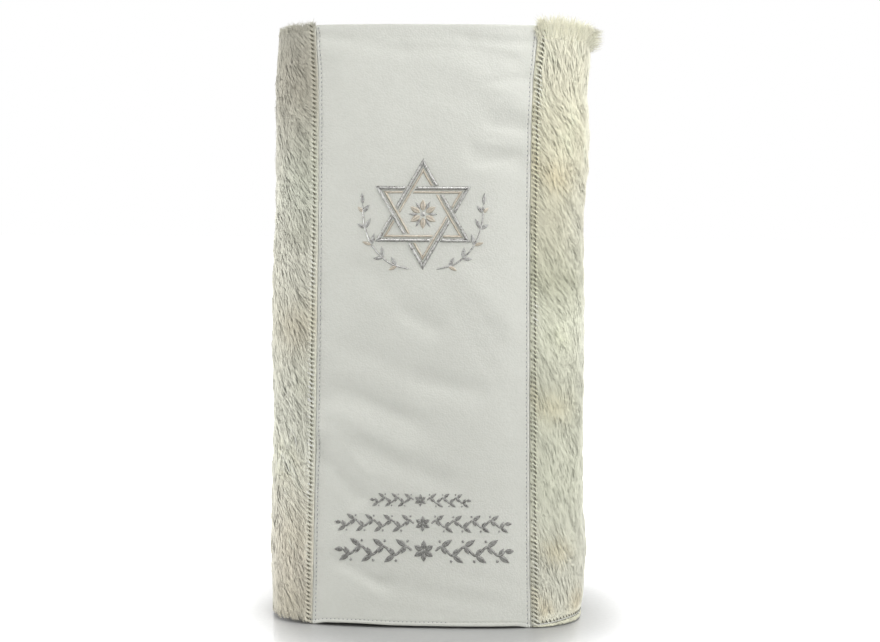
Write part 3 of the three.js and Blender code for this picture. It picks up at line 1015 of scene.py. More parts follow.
def hair_tone(side, s, z):
    """Linear colour of the hair at places on a side."""
    tone = np.stack([read_table(HAIR_TONES[side], k, z) for k in (1, 2, 3)], -1)
    seam = wall_ends(side, z)[0 if side == "right" else 1]
    away = np.abs(s - seam)
    for where, height, from_seam, reach_z, reach_s, change in PATCHES:
        if where == side:
            near = np.exp(-(((z - height) / reach_z) ** 2) - ((away - from_seam) / reach_s) ** 2)
            tone = tone * (1 + (np.array(change) - 1) * near[..., None] * PATCH_SHARE)
    uneven = soft_noise(s * 1.6 + z * 0.5, z * 0.6, 34, 21) + soft_noise(s * 2 + z * 0.8, z * 0.4, 12, 22)
    return np.clip(linear(tone * (1 + 0.012 * uneven[..., None])) * HAIR_GAIN, 0, 0.93)


def band_level(s):
    """Height of the band that is sewn along the right hide's hem."""
    return mix(HEM_BAND["low"], HEM_BAND["high"], smooth(to_seam("right", s, 0.0) / HEM_BAND["reach"]))


def pile_top(side, s, z):
    """The hair's own surface: the pile, drawn in at the right side's hem and at the left side's rim."""
    top = pile_depth(side, s, z)
    if side == "right":
        return top * mix(0.55, 1, smooth((z - band_level(s)) / 16))
    return top * mix(0.1, 1, np.sqrt(swelling((HEIGHT - z) / 11)))


def hair_lean(side, s, z):
    lean = read_table(HAIR_LEAN, 1 if side == "left" else 2, z)
    swirl = 9 * soft_noise(s, z, 85, 31) + 6 * soft_noise(s, z, 30, 32)
    return np.radians(lean + swirl)


def hide_wall(side, node):
    """The hide itself, which shows between the hairs."""
    z = np.linspace(0.4 if side == "right" else 5.5, HEIGHT - 0.6, 96)
    start, end = (e + way * GAP / 2 for e, way in zip(wall_ends(side, z), (1, -1)))
    t = np.linspace(0, 1, 42)
    t = mix(t, (1 - np.cos(np.pi * t)) / 2, 0.6)
    s = start[:, None] + (end - start)[:, None] * t
    level = np.broadcast_to(z[:, None], s.shape)
    outer_depth = hide_depth(side, s, level)
    rounded = read_table([(0, 1.2), (1, 0.4), (4, 0)], 1, np.minimum(level, HEIGHT - level))
    outer = skin_point(s, level, outer_depth - rounded)
    inner = skin_point(s, level, -LEATHER)
    piece = closed_sheet("hide_" + side, outer, inner, "hair", node)
    tone = hair_tone(side, s, level).reshape(-1, 3) * SKIN_OF_HIDE["shade"]
    set_colours(piece, "Tint", np.concatenate([tone, tone]))
    return piece


def hide_depth(side, s, z):
    return pile_top(side, s, z) * SKIN_OF_HIDE["share"]


def strand_faces(rings):
    """Faces of one strand of three-sided rings and a tip, each with its places in the strand's cell."""
    low, high, foot = 0.16, 0.96, 0.1
    sides = [(0, 1), (1, 2), (2, 0)]
    levels = mix(low, high, np.arange(rings + 1) / rings)
    quads = []
    quad_cells = []
    for k in range(rings - 1):
        for c, (a, b) in enumerate(sides):
            left, right = 0.05 + 0.3 * c, 0.33 + 0.3 * c
            below, above = levels[k], levels[k + 1]
            quads.append([3 * k + a, 3 * k + b, 3 * k + 3 + b, 3 * k + 3 + a])
            quad_cells.append([(left, below), (right, below), (right, above), (left, above)])
    tips = []
    tip_cells = []
    for c, (a, b) in enumerate(sides):
        left, right = 0.05 + 0.3 * c, 0.33 + 0.3 * c
        tips.append([3 * rings - 3 + a, 3 * rings - 3 + b, 3 * rings])
        last = levels[rings - 1]
        tip_cells.append([(left, last), (right, last), ((left + right) / 2, high)])
    tips.append([0, 2, 1])
    tip_cells.append([(0.1, 0.03), (0.9, 0.03), (0.5, foot)])
    shapes = [(np.array(quads), np.array(quad_cells)), (np.array(tips), np.array(tip_cells))]
    return [pair for pair in shapes if len(pair[0])]


def skin_normals(points):
    """Unit normals of the oval through points near the skin."""
    halves = np.array([MID_HALF_WIDTH, HALF_DEPTH])
    share = points[..., :2] / halves
    out = np.zeros_like(points)
    out[..., :2] = np.sign(share) * np.abs(share) ** (ROUNDNESS - 1) / halves
    return unit(out)


def strand_normals(across, up, coat, rings, softness):
    """Normals of a strand's points, partly its own and partly the coat's."""
    sides = np.stack([mix(way, coat, softness) for way in (across, -across, up)], 2)[:, :rings]
    tips = mix(up, coat, softness)[:, rings:]
    facing = np.concatenate([sides.reshape(len(across), rings * 3, 3), tips], 1)
    return unit(facing).reshape(-1, 3)


def show_inner_side(piece, outwards, inwards, count, rings):
    """Turns the normals of the strands' inner faces inwards, so that light reaches both sides of them."""
    quads = np.tile(np.repeat([True, False, False], 4), count * (rings - 1))
    tips = np.tile(np.repeat([True, False, False, False], 3), count)
    inner = np.concatenate([quads, tips])
    at = np.empty(len(inner), np.int32)
    piece.data.loops.foreach_get("vertex_index", at)
    piece.data.normals_split_custom_set(np.where(inner[:, None], inwards[at], outwards[at]).tolist())


def hair_piece(name, centres, widths, tints, shades, softness, rise=None):
    """Strands as one mesh. centres is (strands, rings + 1, 3), and each strand ends in a point.

    Light falls on a strand partly as it does on the coat as a whole, by softness. Standing hair is seen
    from both sides and has a rise, which is how much more it is lit from above."""
    count, steps = centres.shape[:2]
    rings = steps - 1
    ahead = unit(np.gradient(centres, axis=1))
    out = skin_normals(centres)
    across = unit(np.cross(ahead, out))
    up = np.cross(across, ahead)
    half = widths[..., None] / 2
    rows = [centres + across * half, centres - across * half, centres + up * half * STRAND_RIDGE]
    body = np.stack(rows, 2)[:, :rings].reshape(count, rings * 3, 3)
    points = np.concatenate([body, centres[:, rings:]], 1)
    lifted = (0, 0, rise or 0)
    facing = strand_normals(across, up, out + lifted, rings, softness)
    batch = Batch()
    shift = np.arange(count)[:, None, None] * (rings * 3 + 1)
    shapes = strand_faces(rings)
    batch.add(points, [(f[None] + shift).reshape(-1, f.shape[1]) for f, _ in shapes])
    piece = mesh_object(name, batch, [LOOKS["hair"]])
    grid = math.ceil(math.sqrt(count))
    corner = np.stack([np.arange(count) % grid, np.arange(count) // grid], -1)[:, None, None]
    cells = [((corner + c[None]) / grid).reshape(-1) for _, c in shapes]
    piece.data.uv_layers.new(name="OFBake").data.foreach_set("uv", np.concatenate(cells).astype(np.float32))
    if rise is None:
        piece.data.normals_split_custom_set_from_vertices(facing.tolist())
    else:
        inwards = strand_normals(across, -up, lifted - out, rings, softness)
        show_inner_side(piece, facing, inwards, count, rings)
    shade = np.append(np.repeat(shades[:rings], 3), shades[rings])
    colours = tints[:, None] * shade[None, :, None]
    set_colours(piece, "Tint", np.clip(colours.reshape(-1, 3), 0, 0.95))
    return piece


def follow_clumps(s, z, seed, pitch):
    """For each root, the way to the middle of its clump, along the skin and up, and the clump's number."""
    low, high = (s.min(), z.min()), (s.max(), z.max())
    span = np.array(high) - low
    count = int(span[0] * span[1] / pitch**2)
    middles = even_spread(count, seed) * span + low
    tree = KDTree(count)
    for k, (a, b) in enumerate(middles):
        tree.insert((a, b * 0.7, 0), k)
    tree.balance()
    found = np.array([tree.find((a, b * 0.7, 0))[1] for a, b in zip(s, z)])
    return middles[found, 0] - s, middles[found, 1] - z, found


def hem_tufts(s):
    """How the lower end of loose hair goes up and down along the hem."""
    wide = np.sin(s * 2 * np.pi / TUFT_PITCH)
    narrow = np.sin(s * 2 * np.pi / (TUFT_PITCH * 0.58) + 1)
    return 1.2 * wide + 1.2 * narrow


CLUMP_PITCH = 5.5


def side_hair(name, side, part, count, rings, seed, length, width, reach):
    """Hair on a part of a side. part is a range from 0 at the front seam to 1 at the back seam."""
    rng = np.random.default_rng(seed)
    u, v = even_spread(count, seed).T
    z = LOWEST_ROOT + v * (HEIGHT - LOWEST_ROOT - 1)
    start, end = wall_ends(side, z)
    front, back = (start, end) if side == "right" else (end, start)
    inwards = np.sign(back - front)
    along = mix(part[0], part[1], u)
    s = mix(front + inwards * PINCHED, back - inwards * PINCHED, along)
    ds, dz, clump = follow_clumps(s, z, seed + 5, CLUMP_PITCH)
    clump_turn = rng.normal(0, 0.1, clump.max() + 1)[clump]
    clump_tone = rng.normal(0, CLUMP_SPREAD[side], clump.max() + 1)[clump]
    lean = hair_lean(side, s, z) + clump_turn + rng.normal(0, 0.09, count)
    long = length * rng.uniform(0.75, 1.2, count)
    # Hair stops short of the sewing at the seam that it points at, and of the floor
    room = np.where(lean > 0, end - s, s - start) - 3.2
    long = np.minimum(long, np.maximum(4, room / np.maximum(np.abs(np.sin(lean)), 0.05)))
    low = rng.uniform(0.4, 2.2 if side == "right" else 5.5, count)
    low = low + (band_level(s) if side == "right" else 4.2 + hem_tufts(s))
    long = np.minimum(long, np.maximum(3, (z - low) / np.cos(lean)))
    t = np.linspace(0, 1, rings + 1)
    gather = (GATHER[side] * smooth((z + 8) / 40))[:, None] * t**1.3
    bend = rng.normal(0, 0.07, count)
    turn = lean[:, None] + bend[:, None] * (t - 0.5)
    ss = s[:, None] + np.sin(turn) * long[:, None] * t + ds[:, None] * gather
    zz = z[:, None] - np.cos(turn) * long[:, None] * t + dz[:, None] * gather * 0.6
    zz = np.clip(zz, 1.0, HEIGHT - 0.3)
    top = pile_top(side, ss, zz)
    base = top * SKIN_OF_HIDE["share"]
    rise = np.interp(t, [0, 0.35, 0.75, 1], [-SKIN_OF_HIDE["root"], reach[0], reach[1], reach[2]])
    loose = rng.normal(0, 0.05, count)
    stray = rng.uniform(0, 1, count) < LOOSE[side]
    loose = loose + stray * rng.uniform(0.1, 0.6, count)
    lift = rise[None, :] + loose[:, None] * t
    out = base + (top - base) * lift
    centres = skin_point(ss, zz, out)
    widths = width * rng.uniform(0.75, 1.25, count)[:, None] * np.interp(t, [0, 0.5, 1], [0.8, 1, 0.15])
    tints = hair_tone(side, s, z) * (1 + clump_tone + rng.normal(0, STRAND_SPREAD[side], count))[:, None]
    shades = np.interp(t, [0, 0.4, 1], [ROOT_SHADE[side], 0.98, 1.02])
    return hair_piece(name, centres, widths, tints, shades, COAT_SOFTNESS[side])


def seam_hair(name, side, seed):
    """Small bundles of hair that the seams' stitches pull together, with pits between them."""
    rng = np.random.default_rng(seed)
    each = 8
    rows = []
    for k in (0, 1):
        z = np.arange(4, HEIGHT - 1, PITS["pitch"])
        z = np.repeat(z, each) + rng.uniform(-0.9, 0.9, len(z) * each)
        seam = wall_ends(side, np.clip(z, 0, HEIGHT))[k]
        way = 1 - 2 * k
        near = rng.uniform(0.8, 1.6, len(z))
        far = rng.uniform(6.5, 10.5, len(z))
        slope = -way * rng.uniform(0.45, 0.8, len(z))
        t = np.array([0, 0.5, 1])
        away = near[:, None] + (far - near)[:, None] * t
        zz = z[:, None] + slope[:, None] * (away - PITS[side])
        ss = seam[:, None] + way * away
        zz = np.clip(zz, 1, HEIGHT - 0.5)
        out = pile_depth(side, ss, zz) * np.array([0.6, 1.0, 0.9])
        out = out + np.array([0, 0.3, 0]) * rng.uniform(0.3, 1.1, len(z))[:, None]
        rows.append((skin_point(ss, zz, out), hair_tone(side, ss[:, 1], zz[:, 1])))
    centres = np.concatenate([r[0] for r in rows])
    tints = np.concatenate([r[1] for r in rows]) * rng.uniform(1.0, 1.26, (len(centres), 1))
    widths = rng.uniform(0.6, 0.95, (len(centres), 1)) * np.array([1, 0.9, 0.1])
    return hair_piece(name, centres, widths, tints, np.array([0.9, 1.0, 1.0]), 0.35)


# From 0 at the front seam to 1 at the back: how far the rim's hair goes above the rim and leans out
RIM_HAIR = {
    "right": [
        (0, 9, 1.5),
        (0.07, 12, 3),
        (0.2, 9, 6),
        (0.3, 5, 11),
        (0.38, -9, 16),
        (0.5, -10, 13),
        (0.62, 4, 8),
        (1, 4, 2),
    ],
    "left": [
        (0, 4.5, 1.5),
        (0.12, 3.5, 2),
        (0.26, 0.5, 1.5),
        (0.36, -4, 1.5),
        (0.5, -5, 1),
        (0.6, -3, 1),
        (1, 3.5, 1.5),
    ],
}
RIM_COUNT = {"right": 3200, "left": 1500}
# How far below the rim the roots go, and how closely they keep to it
RIM_ROOTS = {"right": (22, 1.6), "left": (9, 1.3)}
RIM_INSET = {"right": 0, "left": 2.5}
RIM_TINT = {"right": (228, 227, 208), "left": (192, 190, 176)}


def rim_hair(side, seed):
    """Hair that stands up past the rim and leans out."""
    rng = np.random.default_rng(seed)
    count = RIM_COUNT[side]
    reach, crowd = RIM_ROOTS[side]
    along = even_spread(count, seed)[:, 0] ** 1.15
    z = HEIGHT - 1.2 - rng.uniform(0, 1, count) ** crowd * reach
    start, end = wall_ends(side, z)
    front, back = (start, end) if side == "right" else (end, start)
    s = mix(front, back, mix(0.008, 0.985, along))
    past = read_table(RIM_HAIR[side], 1, along) * rng.uniform(0.1, 1.2, count)
    past = past + (rng.uniform(0, 1, count) < 0.1) * rng.uniform(1, 4, count)
    lean = read_table(RIM_HAIR[side], 2, along) * rng.uniform(0.35, 1.15, count)
    fan = rng.normal(0, 0.22, count) + 0.12 * soft_noise(s, 0 * s, 14, seed + 2)
    near_seam = 1 - smooth(along / 0.09)
    over_seam = np.sign(front - back) * near_seam * rng.uniform(1, 5, count)
    tip_z = np.maximum(HEIGHT + past - (HEIGHT - z) * 0.25, z + 3)
    t = np.array([0, 0.35, 0.7, 1])
    zz = z[:, None] + (tip_z - z)[:, None] * t
    ss = s[:, None] + (fan * 9 + over_seam)[:, None] * t**1.4
    depth = pile_top(side, np.broadcast_to(s[:, None], ss.shape), np.minimum(zz, HEIGHT - RIM_INSET[side]))
    out = depth * np.array([0.45, 0.92, 0.97, 0.97]) + lean[:, None] * np.array([0, 0.12, 0.5, 1])
    out = out + rng.uniform(-1.2, 0.4, count)[:, None] * t
    centres = skin_point(ss, zz, out)
    widths = 0.52 * rng.uniform(0.7, 1.2, (count, 1)) * np.array([0.9, 1, 0.8, 0.1])
    tints = mix(hair_tone(side, s, z), linear(RIM_TINT[side]), 0.55) * rng.uniform(0.86, 1.12, (count, 1))
    shades = np.array([0.9, 0.98, 1.0, 1.0])
    piece = hair_piece("rim_hair_" + side, centres, widths, tints, shades, 0.62, 0.3)
    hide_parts("rim_locks_" + side)
    return piece


HEM_COUNT = 1100
HEM_STRANDS = {
    "left": {"width": 0.6, "dark": 0.6, "softness": 0.25},
    "right": {"width": 0.85, "dark": 0.92, "softness": 0.4},
}
# Places along a strand at the hem, from its root to its tip
HANG = np.array([0, 0.4, 0.75, 1])


def hanging(first, last):
    """A measure along strands, from its value at each root to its value at each tip."""
    return first[:, None] + (last - first)[:, None] * HANG


def loose_hem(side, count, rng):
    """The last hair above the floor, in uneven tufts with gaps between them."""
    start, end = wall_ends(side, 0.0)
    tufts = np.arange(start + 3, end - 2, TUFT_PITCH)
    tufts = tufts + rng.uniform(-2, 2, len(tufts))
    tip = rng.uniform(0.5, 3.0, len(tufts))
    out_by = rng.uniform(-0.6, 1.4, len(tufts))
    tuft = rng.integers(0, len(tufts), count)
    z = rng.uniform(8, 19, count)
    tip_s = tufts[tuft] + rng.normal(0, 1.7, count)
    tip_z = tip[tuft] + rng.uniform(0, 3, count)
    s = tip_s - (z - tip_z) * (0.35 + rng.normal(0, 0.12, count)) + rng.normal(0, 1.2, count)
    zz = hanging(z, tip_z)
    ss = np.clip(hanging(s, tip_s), start + 2.5, end - 2)
    out = pile_depth(side, ss, zz) * np.array([0.5, 0.95, 1.0, 0.9])
    return ss, zz, out + out_by[tuft][:, None] * HANG


def hem_bundles(side, count, rng):
    """Hair that a hem's stitches gather into small bundles, down to the sewn band."""
    start, end = wall_ends(side, 0.0)
    pitch = HEM_PITS["pitch"]
    s = rng.uniform(start + 3, end - 3, count)
    middle = start + 4 + (np.floor((s - start - 4) / pitch) + 0.5) * pitch
    low = band_level(s) + rng.uniform(0.2, 0.7, count)
    high = low + rng.uniform(6, 13, count)
    zz = hanging(high, low)
    tip = mix(s, middle, 0.6)
    ss = (s - 3.5)[:, None] + (tip - s + 3.5)[:, None] * HANG
    ss = np.clip(ss, start + 2.5, end - 2)
    out = pile_top(side, ss, zz) * np.array([0.6, 1.0, 1.04, 0.95])
    return ss, zz, out


def hem_fringe(side, count, rng):
    """Short hair under the sewn band, combed along it."""
    start, end = wall_ends(side, 0.0)
    s = rng.uniform(start + 1.5, end - 8, count)
    high = band_level(s) - rng.uniform(0.1, 1.4, count)
    low = rng.uniform(0.7, 2.4, count)
    zz = hanging(high, low)
    ss = s[:, None] + rng.uniform(3, 8, count)[:, None] * HANG
    out = pile_top(side, ss, zz) * np.array([0.75, 1.0, 1.05, 0.95])
    return ss, zz, out + rng.uniform(-0.4, 0.6, count)[:, None]


def hem_hair(side, seed):
    """The hair at a side's hem: sewn under a band on the right and loose on the left."""
    rng = np.random.default_rng(seed)
    strands = HEM_STRANDS[side]
    if side == "right":
        rows = [hem_bundles(side, HEM_COUNT * 2 // 3, rng), hem_fringe(side, HEM_COUNT, rng)]
        tones = [(1, 1, 1), (0.98, 0.98, 0.93)]
    else:
        rows = [loose_hem(side, HEM_COUNT, rng)]
        tones = [(1, 1, 1)]
    centres = np.concatenate([skin_point(*row) for row in rows])
    tints = [hair_tone(side, ss[:, 0], zz[:, 0]) * tone for (ss, zz, _), tone in zip(rows, tones)]
    widths = strands["width"] * rng.uniform(0.7, 1.2, (len(centres), 1)) * np.array([0.9, 1, 0.8, 0.1])
    tints = np.concatenate(tints) * rng.uniform(strands["dark"], 1.08, (len(centres), 1))
    shades = np.array([0.85, 0.97, 1.0, 1.0])
    piece = hair_piece("hem_hair_" + side, centres, widths, tints, shades, strands["softness"])
    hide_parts("hem_locks_" + side)
    return piece


def hem_band(name, below, size, look):
    """A narrow band or thread that is sewn along the right hide's hem."""
    batch = Batch()
    start, end = wall_ends("right", 0.0)
    s = np.arange(start + 1.2, end - 1, 2.2)
    turn = np.arange(8) * 2 * np.pi / 8
    level = band_level(s)[:, None] - below + size * np.cos(turn)
    ss = np.broadcast_to(s[:, None], level.shape)
    sewn = 0.12 * np.sin(ss * 2 * np.pi / HEM_PITS["pitch"])
    out = pile_top("right", ss, level) * 0.95 + size * 0.8 * np.sin(turn) + sewn
    loft(batch, skin_point(ss, level, out))
    piece = mesh_object(name, batch, [LOOKS[look]])
    set_values(piece, "Along", np.repeat(s, 8))
    return piece


def seam_pits(batch, side):
    """Dark slanted stitches in the row of pits where the hair is pinched. Their dark olive colour is partly
    the thread and partly painted shade in the pits.
    """
    rng = np.random.default_rng(61 if side == "left" else 62)
    rows = []
    for k in (0, 1):
        z = np.arange(4, HEIGHT - 3, PITS["pitch"]) + PITS["pitch"] / 2 + rng.uniform(-0.4, 0.4)
        z = z + rng.normal(0, 0.25, len(z))
        s = wall_ends(side, z)[k] + (1 - 2 * k) * (PITS[side] + 0.1) + rng.normal(0, 0.2, len(z))
        slant = read_table(PIT_SLANT, 1 if side == "left" else 2, z)
        rows.append((s, z, pile_depth(side, s, z) + 0.25, slant, PIT_SIZE[side]))
        if side == "right":
            kept = (z < GROOVE_STITCHES["below"]) | (rng.uniform(0, 1, len(z)) < GROOVE_STITCHES["share"])
            away = GROOVE_STITCHES["away"] + rng.normal(0, 0.15, len(z))
            near = wall_ends(side, z)[k] + (1 - 2 * k) * away
            height = pile_depth(side, near, z)[kept] + 0.1
            leaning = np.minimum(slant[kept] + 0.1, 0.8)
            rows.append((near[kept], z[kept] + 1.5, height, leaning, PIT_SIZE["groove"]))
    if side == "right":
        start, end = wall_ends(side, 0.0)
        s = np.arange(start + 4, end - 3, HEM_PITS["pitch"])
        z = band_level(s) + HEM_PITS["above"]
        rows.append((s, z, pile_top(side, s, z) + 0.2, np.full(len(s), 0.6), PIT_SIZE[side]))
    for s, z, height, slant, size in rows:
        points, out = skin(s, z)
        points = points + out * height[:, None]
        up = upright(points)
        along = np.cross(up, out) * slant[:, None] - up * np.sqrt(1 - slant**2)[:, None]
        copies(batch, pebble(*size, 6, 4), points, along, np.cross(out, along), out)


def pressed_bands(side):
    """Narrow flat bands of bare hide between the pits and the seam."""
    batch = Batch()
    z = np.arange(1, HEIGHT - 0.5, 3.0)
    for k in (0, 1):
        way = 1 - 2 * k
        away = np.array([-0.1, 0.1, 0.8, 1.5, 1.8, 1.8, -0.1])
        height = np.array([0.0, 0.15, 0.35, 0.2, -0.2, -0.8, -0.8])
        if k == 1:
            away, height = away[::-1], height[::-1]
        seam = wall_ends(side, z)[k]
        s = seam[:, None] + way * away
        level = np.broadcast_to(z[:, None], s.shape)
        lump = 0.12 * np.sin(level * 2 * np.pi / PITS["pitch"])
        rings = skin_point(s, level, height + pile_depth(side, s, level) * 0.35 + lump)
        loft(batch, rings)
    piece = mesh_object("pressed_bands_" + side, batch, [LOOKS["hair"]])
    set_colours(piece, "Tint", np.broadcast_to(linear(BAND_TINT), (batch.count, 3)))
    return piece


# Embroidery on the front

STAR = {"x": -4.5, "z": 427.5, "radius": 49}
BANDS = {"outer": (0.4, 3.8), "inner": (-3.4, -0.9)}


def on_front(x, z, out):
    """Points on the front's face, from x, z and how far they stand out."""
    x, z, out = np.broadcast_arrays(np.asarray(x, float), np.asarray(z, float), np.asarray(out, float))
    s = np.sign(x) * arc_to(np.abs(x))
    return skin_point(s, z, leather_out("front", s, z) + out)


ACROSS = np.linspace(0, 1, 7)
DOME = np.sin(np.pi * np.clip(ACROSS, 0.04, 0.96)) ** 0.8


def satin_rings(batch, left, right, heights, along):
    """A raised satin stitch between two rows of x, z points, whose edges are left and right of its way."""
    x = mix(left[:, None, 0], right[:, None, 0], ACROSS)
    z = mix(left[:, None, 1], right[:, None, 1], ACROSS)
    top = on_front(x, z, heights[:, None] * DOME)
    low = on_front(x[:, [-1, 0]], z[:, [-1, 0]], -0.4)
    value = np.concatenate([along[:, None] + 0.25 * ACROSS, np.repeat(along[:, None], 2, 1)], 1)
    # The edge value darkens the satin towards both of its edges: painted shade.
    edge = np.broadcast_to(np.append(np.abs(2 * ACROSS - 1) ** 4, [1, 1]), value.shape)
    loft(batch, np.concatenate([top, low], 1), np.stack([value, edge], -1))


def satin_bar(batch, a, b, c, d, height, rng):
    """A straight bar whose left edge runs from a to d and whose right edge runs from b to c."""
    a, b, c, d = (np.asarray(p, float) for p in (a, b, c, d))
    if np.cross(b - a, d - a) < 0:
        a, b, c, d = b, a, d, c
    length = np.linalg.norm((d + c - a - b) / 2)
    middle = np.linspace(0, 1, max(3, int(length / 1.5)))
    t = np.concatenate([[0, 0.35 / length], middle[1:-1], [1 - 0.35 / length, 1]])
    heights = height * np.interp(np.minimum(t, 1 - t) * length, [0, 0.35, 1.5], [0.2, 0.7, 1])
    left, right = (p + (q - p) * t[:, None] for p, q in ((a, d), (b, c)))
    wobble = rng.uniform(-0.07, 0.07, (len(t), 1)) * (right - left)
    satin_rings(batch, left + wobble, right + wobble, heights, t * length)


def satin_leaf(batch, base, turn, length, width, height):
    """A pointed leaf of two halves, whose threads meet at a crease down its middle."""
    t = np.linspace(0, 1, 11)
    half = np.maximum(width / 2 * np.sin(np.pi * t**0.85) ** 0.9, 0.08)
    way = np.array([math.cos(turn), math.sin(turn)])
    side = np.array([-way[1], way[0]])
    middle = np.asarray(base) + way * (t * length)[:, None]
    u = np.linspace(-1, 1, 9)
    place = middle[:, None] - side * (u[:, None] * half[:, None, None])
    dome = height * (1 - (u * 0.97) ** 2) ** 0.5 - 0.4 * height * np.exp(-((u / 0.16) ** 2))
    swell = np.sin(np.pi * np.clip(t, 0.08, 0.94))[:, None] ** 0.4
    top = on_front(place[..., 0], place[..., 1], dome[None] * swell)
    low = on_front(place[:, [-1, 0], 0], place[:, [-1, 0], 1], -0.4)
    value = (t * length)[:, None] - np.abs(u) * half[:, None] * 0.8
    value = np.concatenate([value, value[:, [-1, 0]]], 1)
    # The edge value darkens the leaf towards its edges and down its middle crease: painted shade.
    edge = np.abs(u) ** 4 * 0.8 + 0.55 * np.exp(-((u / 0.18) ** 2))
    edge = np.broadcast_to(np.append(edge, [1, 1]), value.shape)
    loft(batch, np.concatenate([top, low], 1), np.stack([value, edge], -1))


def satin_stem(batch, path, width, height):
    """A narrow raised line along a path of x, z points."""
    path = np.asarray(path, float)
    way = unit(np.gradient(path, axis=0))
    side = np.stack([way[:, 1], -way[:, 0]], -1) * width / 2
    along = np.concatenate([[0], np.cumsum(np.linalg.norm(np.diff(path, axis=0), axis=1))])
    ends = np.interp(np.minimum(along, along[-1] - along), [0, 0.8, 2], [0.25, 0.8, 1])
    satin_rings(batch, path - side * ends[:, None], path + side * ends[:, None], height * ends, along)


def satin_dot(batch, x, z, size, height):
    """A small round knot."""
    points = on_front(np.array([x]), np.array([z]), 0.15)
    _, out = skin(np.sign([x]) * arc_to(np.abs([x])), np.array([z]))
    up = np.array([[0, 0, 1.0]])
    copies(batch, pebble(size, size, height * 2, 10, 7), points, up, np.cross(out, up), out)


def crossing(p, d, q, e):
    """Where the line from p along d meets the line from q along e."""
    t = np.cross(q - p, e) / np.cross(d, e)
    return p + d * t


def star_corners(turn, offset):
    """Corners of one of the star's triangles, moved out by offset."""
    reach = STAR["radius"] + 2 * offset
    turns = turn + np.arange(3) * 2 * np.pi / 3
    return np.stack([STAR["x"] + reach * np.cos(turns), STAR["z"] + reach * np.sin(turns)], -1)


def star_band(batch, offsets, height, rng):
    """One colour of both triangles. Each side runs over the other triangle once and under it once."""
    clear = max(abs(v) for pair in BANDS.values() for v in pair) + 0.9
    for turn in (np.pi / 2, -np.pi / 2):
        low, high = (star_corners(turn, o) for o in offsets)
        other = star_corners(-turn, 0)
        for k in range(3):
            ends = [(low[k], low[(k + 1) % 3]), (high[k], high[(k + 1) % 3])]
            ways = [b - a for a, b in ends]
            third = mix(ends[0][0], ends[0][1], 2 / 3)
            near = [np.abs(np.cross(other[(m + 1) % 3] - other[m], third - other[m])) for m in range(3)]
            m = int(np.argmin(near))
            line = unit(other[(m + 1) % 3] - other[m])
            off = np.array([line[1], -line[0]])
            if np.dot(ways[0], off) < 0:
                off = -off
            stops = []
            for way in (-1, 1):
                edge = other[m] + off * way * clear
                stops.append([crossing(a, w, edge, line) for (a, _), w in zip(ends, ways)])
            (a0, a1), (b0, b1) = ends
            satin_bar(batch, a0, b0, stops[0][1], stops[0][0], height, rng)
            satin_bar(batch, stops[1][0], stops[1][1], b1, a1, height, rng)


def curve_points(points, steps=8):
    """A smooth line through points."""
    p = np.asarray(points, float)
    k = np.arange(len(p))
    t = np.linspace(0, len(p) - 1, (len(p) - 1) * steps + 1)
    full = np.concatenate([2 * p[:1] - p[1:2], p, 2 * p[-1:] - p[-2:-1]])
    i = np.minimum(t.astype(int), len(p) - 2)
    f = (t - k[i])[:, None]
    a, b, c, d = (full[i + n] for n in range(4))
    return 0.5 * (2 * b + (c - a) * f + (2 * a - 5 * b + 4 * c - d) * f**2 + (3 * b - a - 3 * c + d) * f**3)


SPRAY_STEM = [(14, -56), (34, -50), (51, -34), (60, -12), (62, 10)]
# Place on the stem, length of the inner leaf and length of the outer leaf
SPRAY_LEAVES = [(5, 11, 12), (11, 12, 13), (17, 12.5, 13), (23, 12, 12), (29, 10, 10)]


def star_motif(silver, champagne):
    """A six-pointed star with a rosette in it and a spray of leaves on each side."""
    rng = np.random.default_rng(41)
    star_band(silver, BANDS["outer"], 1.9, rng)
    star_band(champagne, BANDS["inner"], 1.1, rng)
    x0, z0 = STAR["x"], STAR["z"]
    for k in range(6):
        turn = np.pi / 2 + k * np.pi / 3
        base = (x0 + 3.4 * math.cos(turn), z0 + 3.4 * math.sin(turn))
        satin_leaf(champagne, base, turn, 11.5, 6.2, 1.0)
        turn += np.pi / 6
        satin_leaf(silver, (x0 + 5.5 * math.cos(turn), z0 + 5.5 * math.sin(turn)), turn, 9.5, 2.6, 0.8)
    satin_dot(silver, x0, z0, 4.6, 1.0)
    for way in (-1, 1):
        path = curve_points(SPRAY_STEM) * (way, 1) + (x0, z0)
        satin_stem(silver, path, 1.7, 0.8)
        for k, (at, inner, outer) in enumerate(SPRAY_LEAVES):
            ahead = path[at + 1] - path[at - 1]
            heading = math.atan2(ahead[1], ahead[0])
            other = silver if k % 2 else champagne
            satin_leaf(silver, path[at], heading + way * 0.75, inner, 3.9, 0.95)
            satin_leaf(other, path[at], heading - way * 0.75, outer * 0.78, 3.6, 0.95)
        last = path[-1] - path[-2]
        satin_leaf(silver, path[-1], math.atan2(last[1], last[0]), 12, 4, 0.95)


# Rows of leaves: x of both ends, z of the bottom and the top, and how often the stem turns on each side
LEAF_ROWS = [
    (-57.5, 47, 126, 141, 3),
    (-94, 88.5, 99.5, 119, 4),
    (-94, 91, 67.5, 94, 3),
]


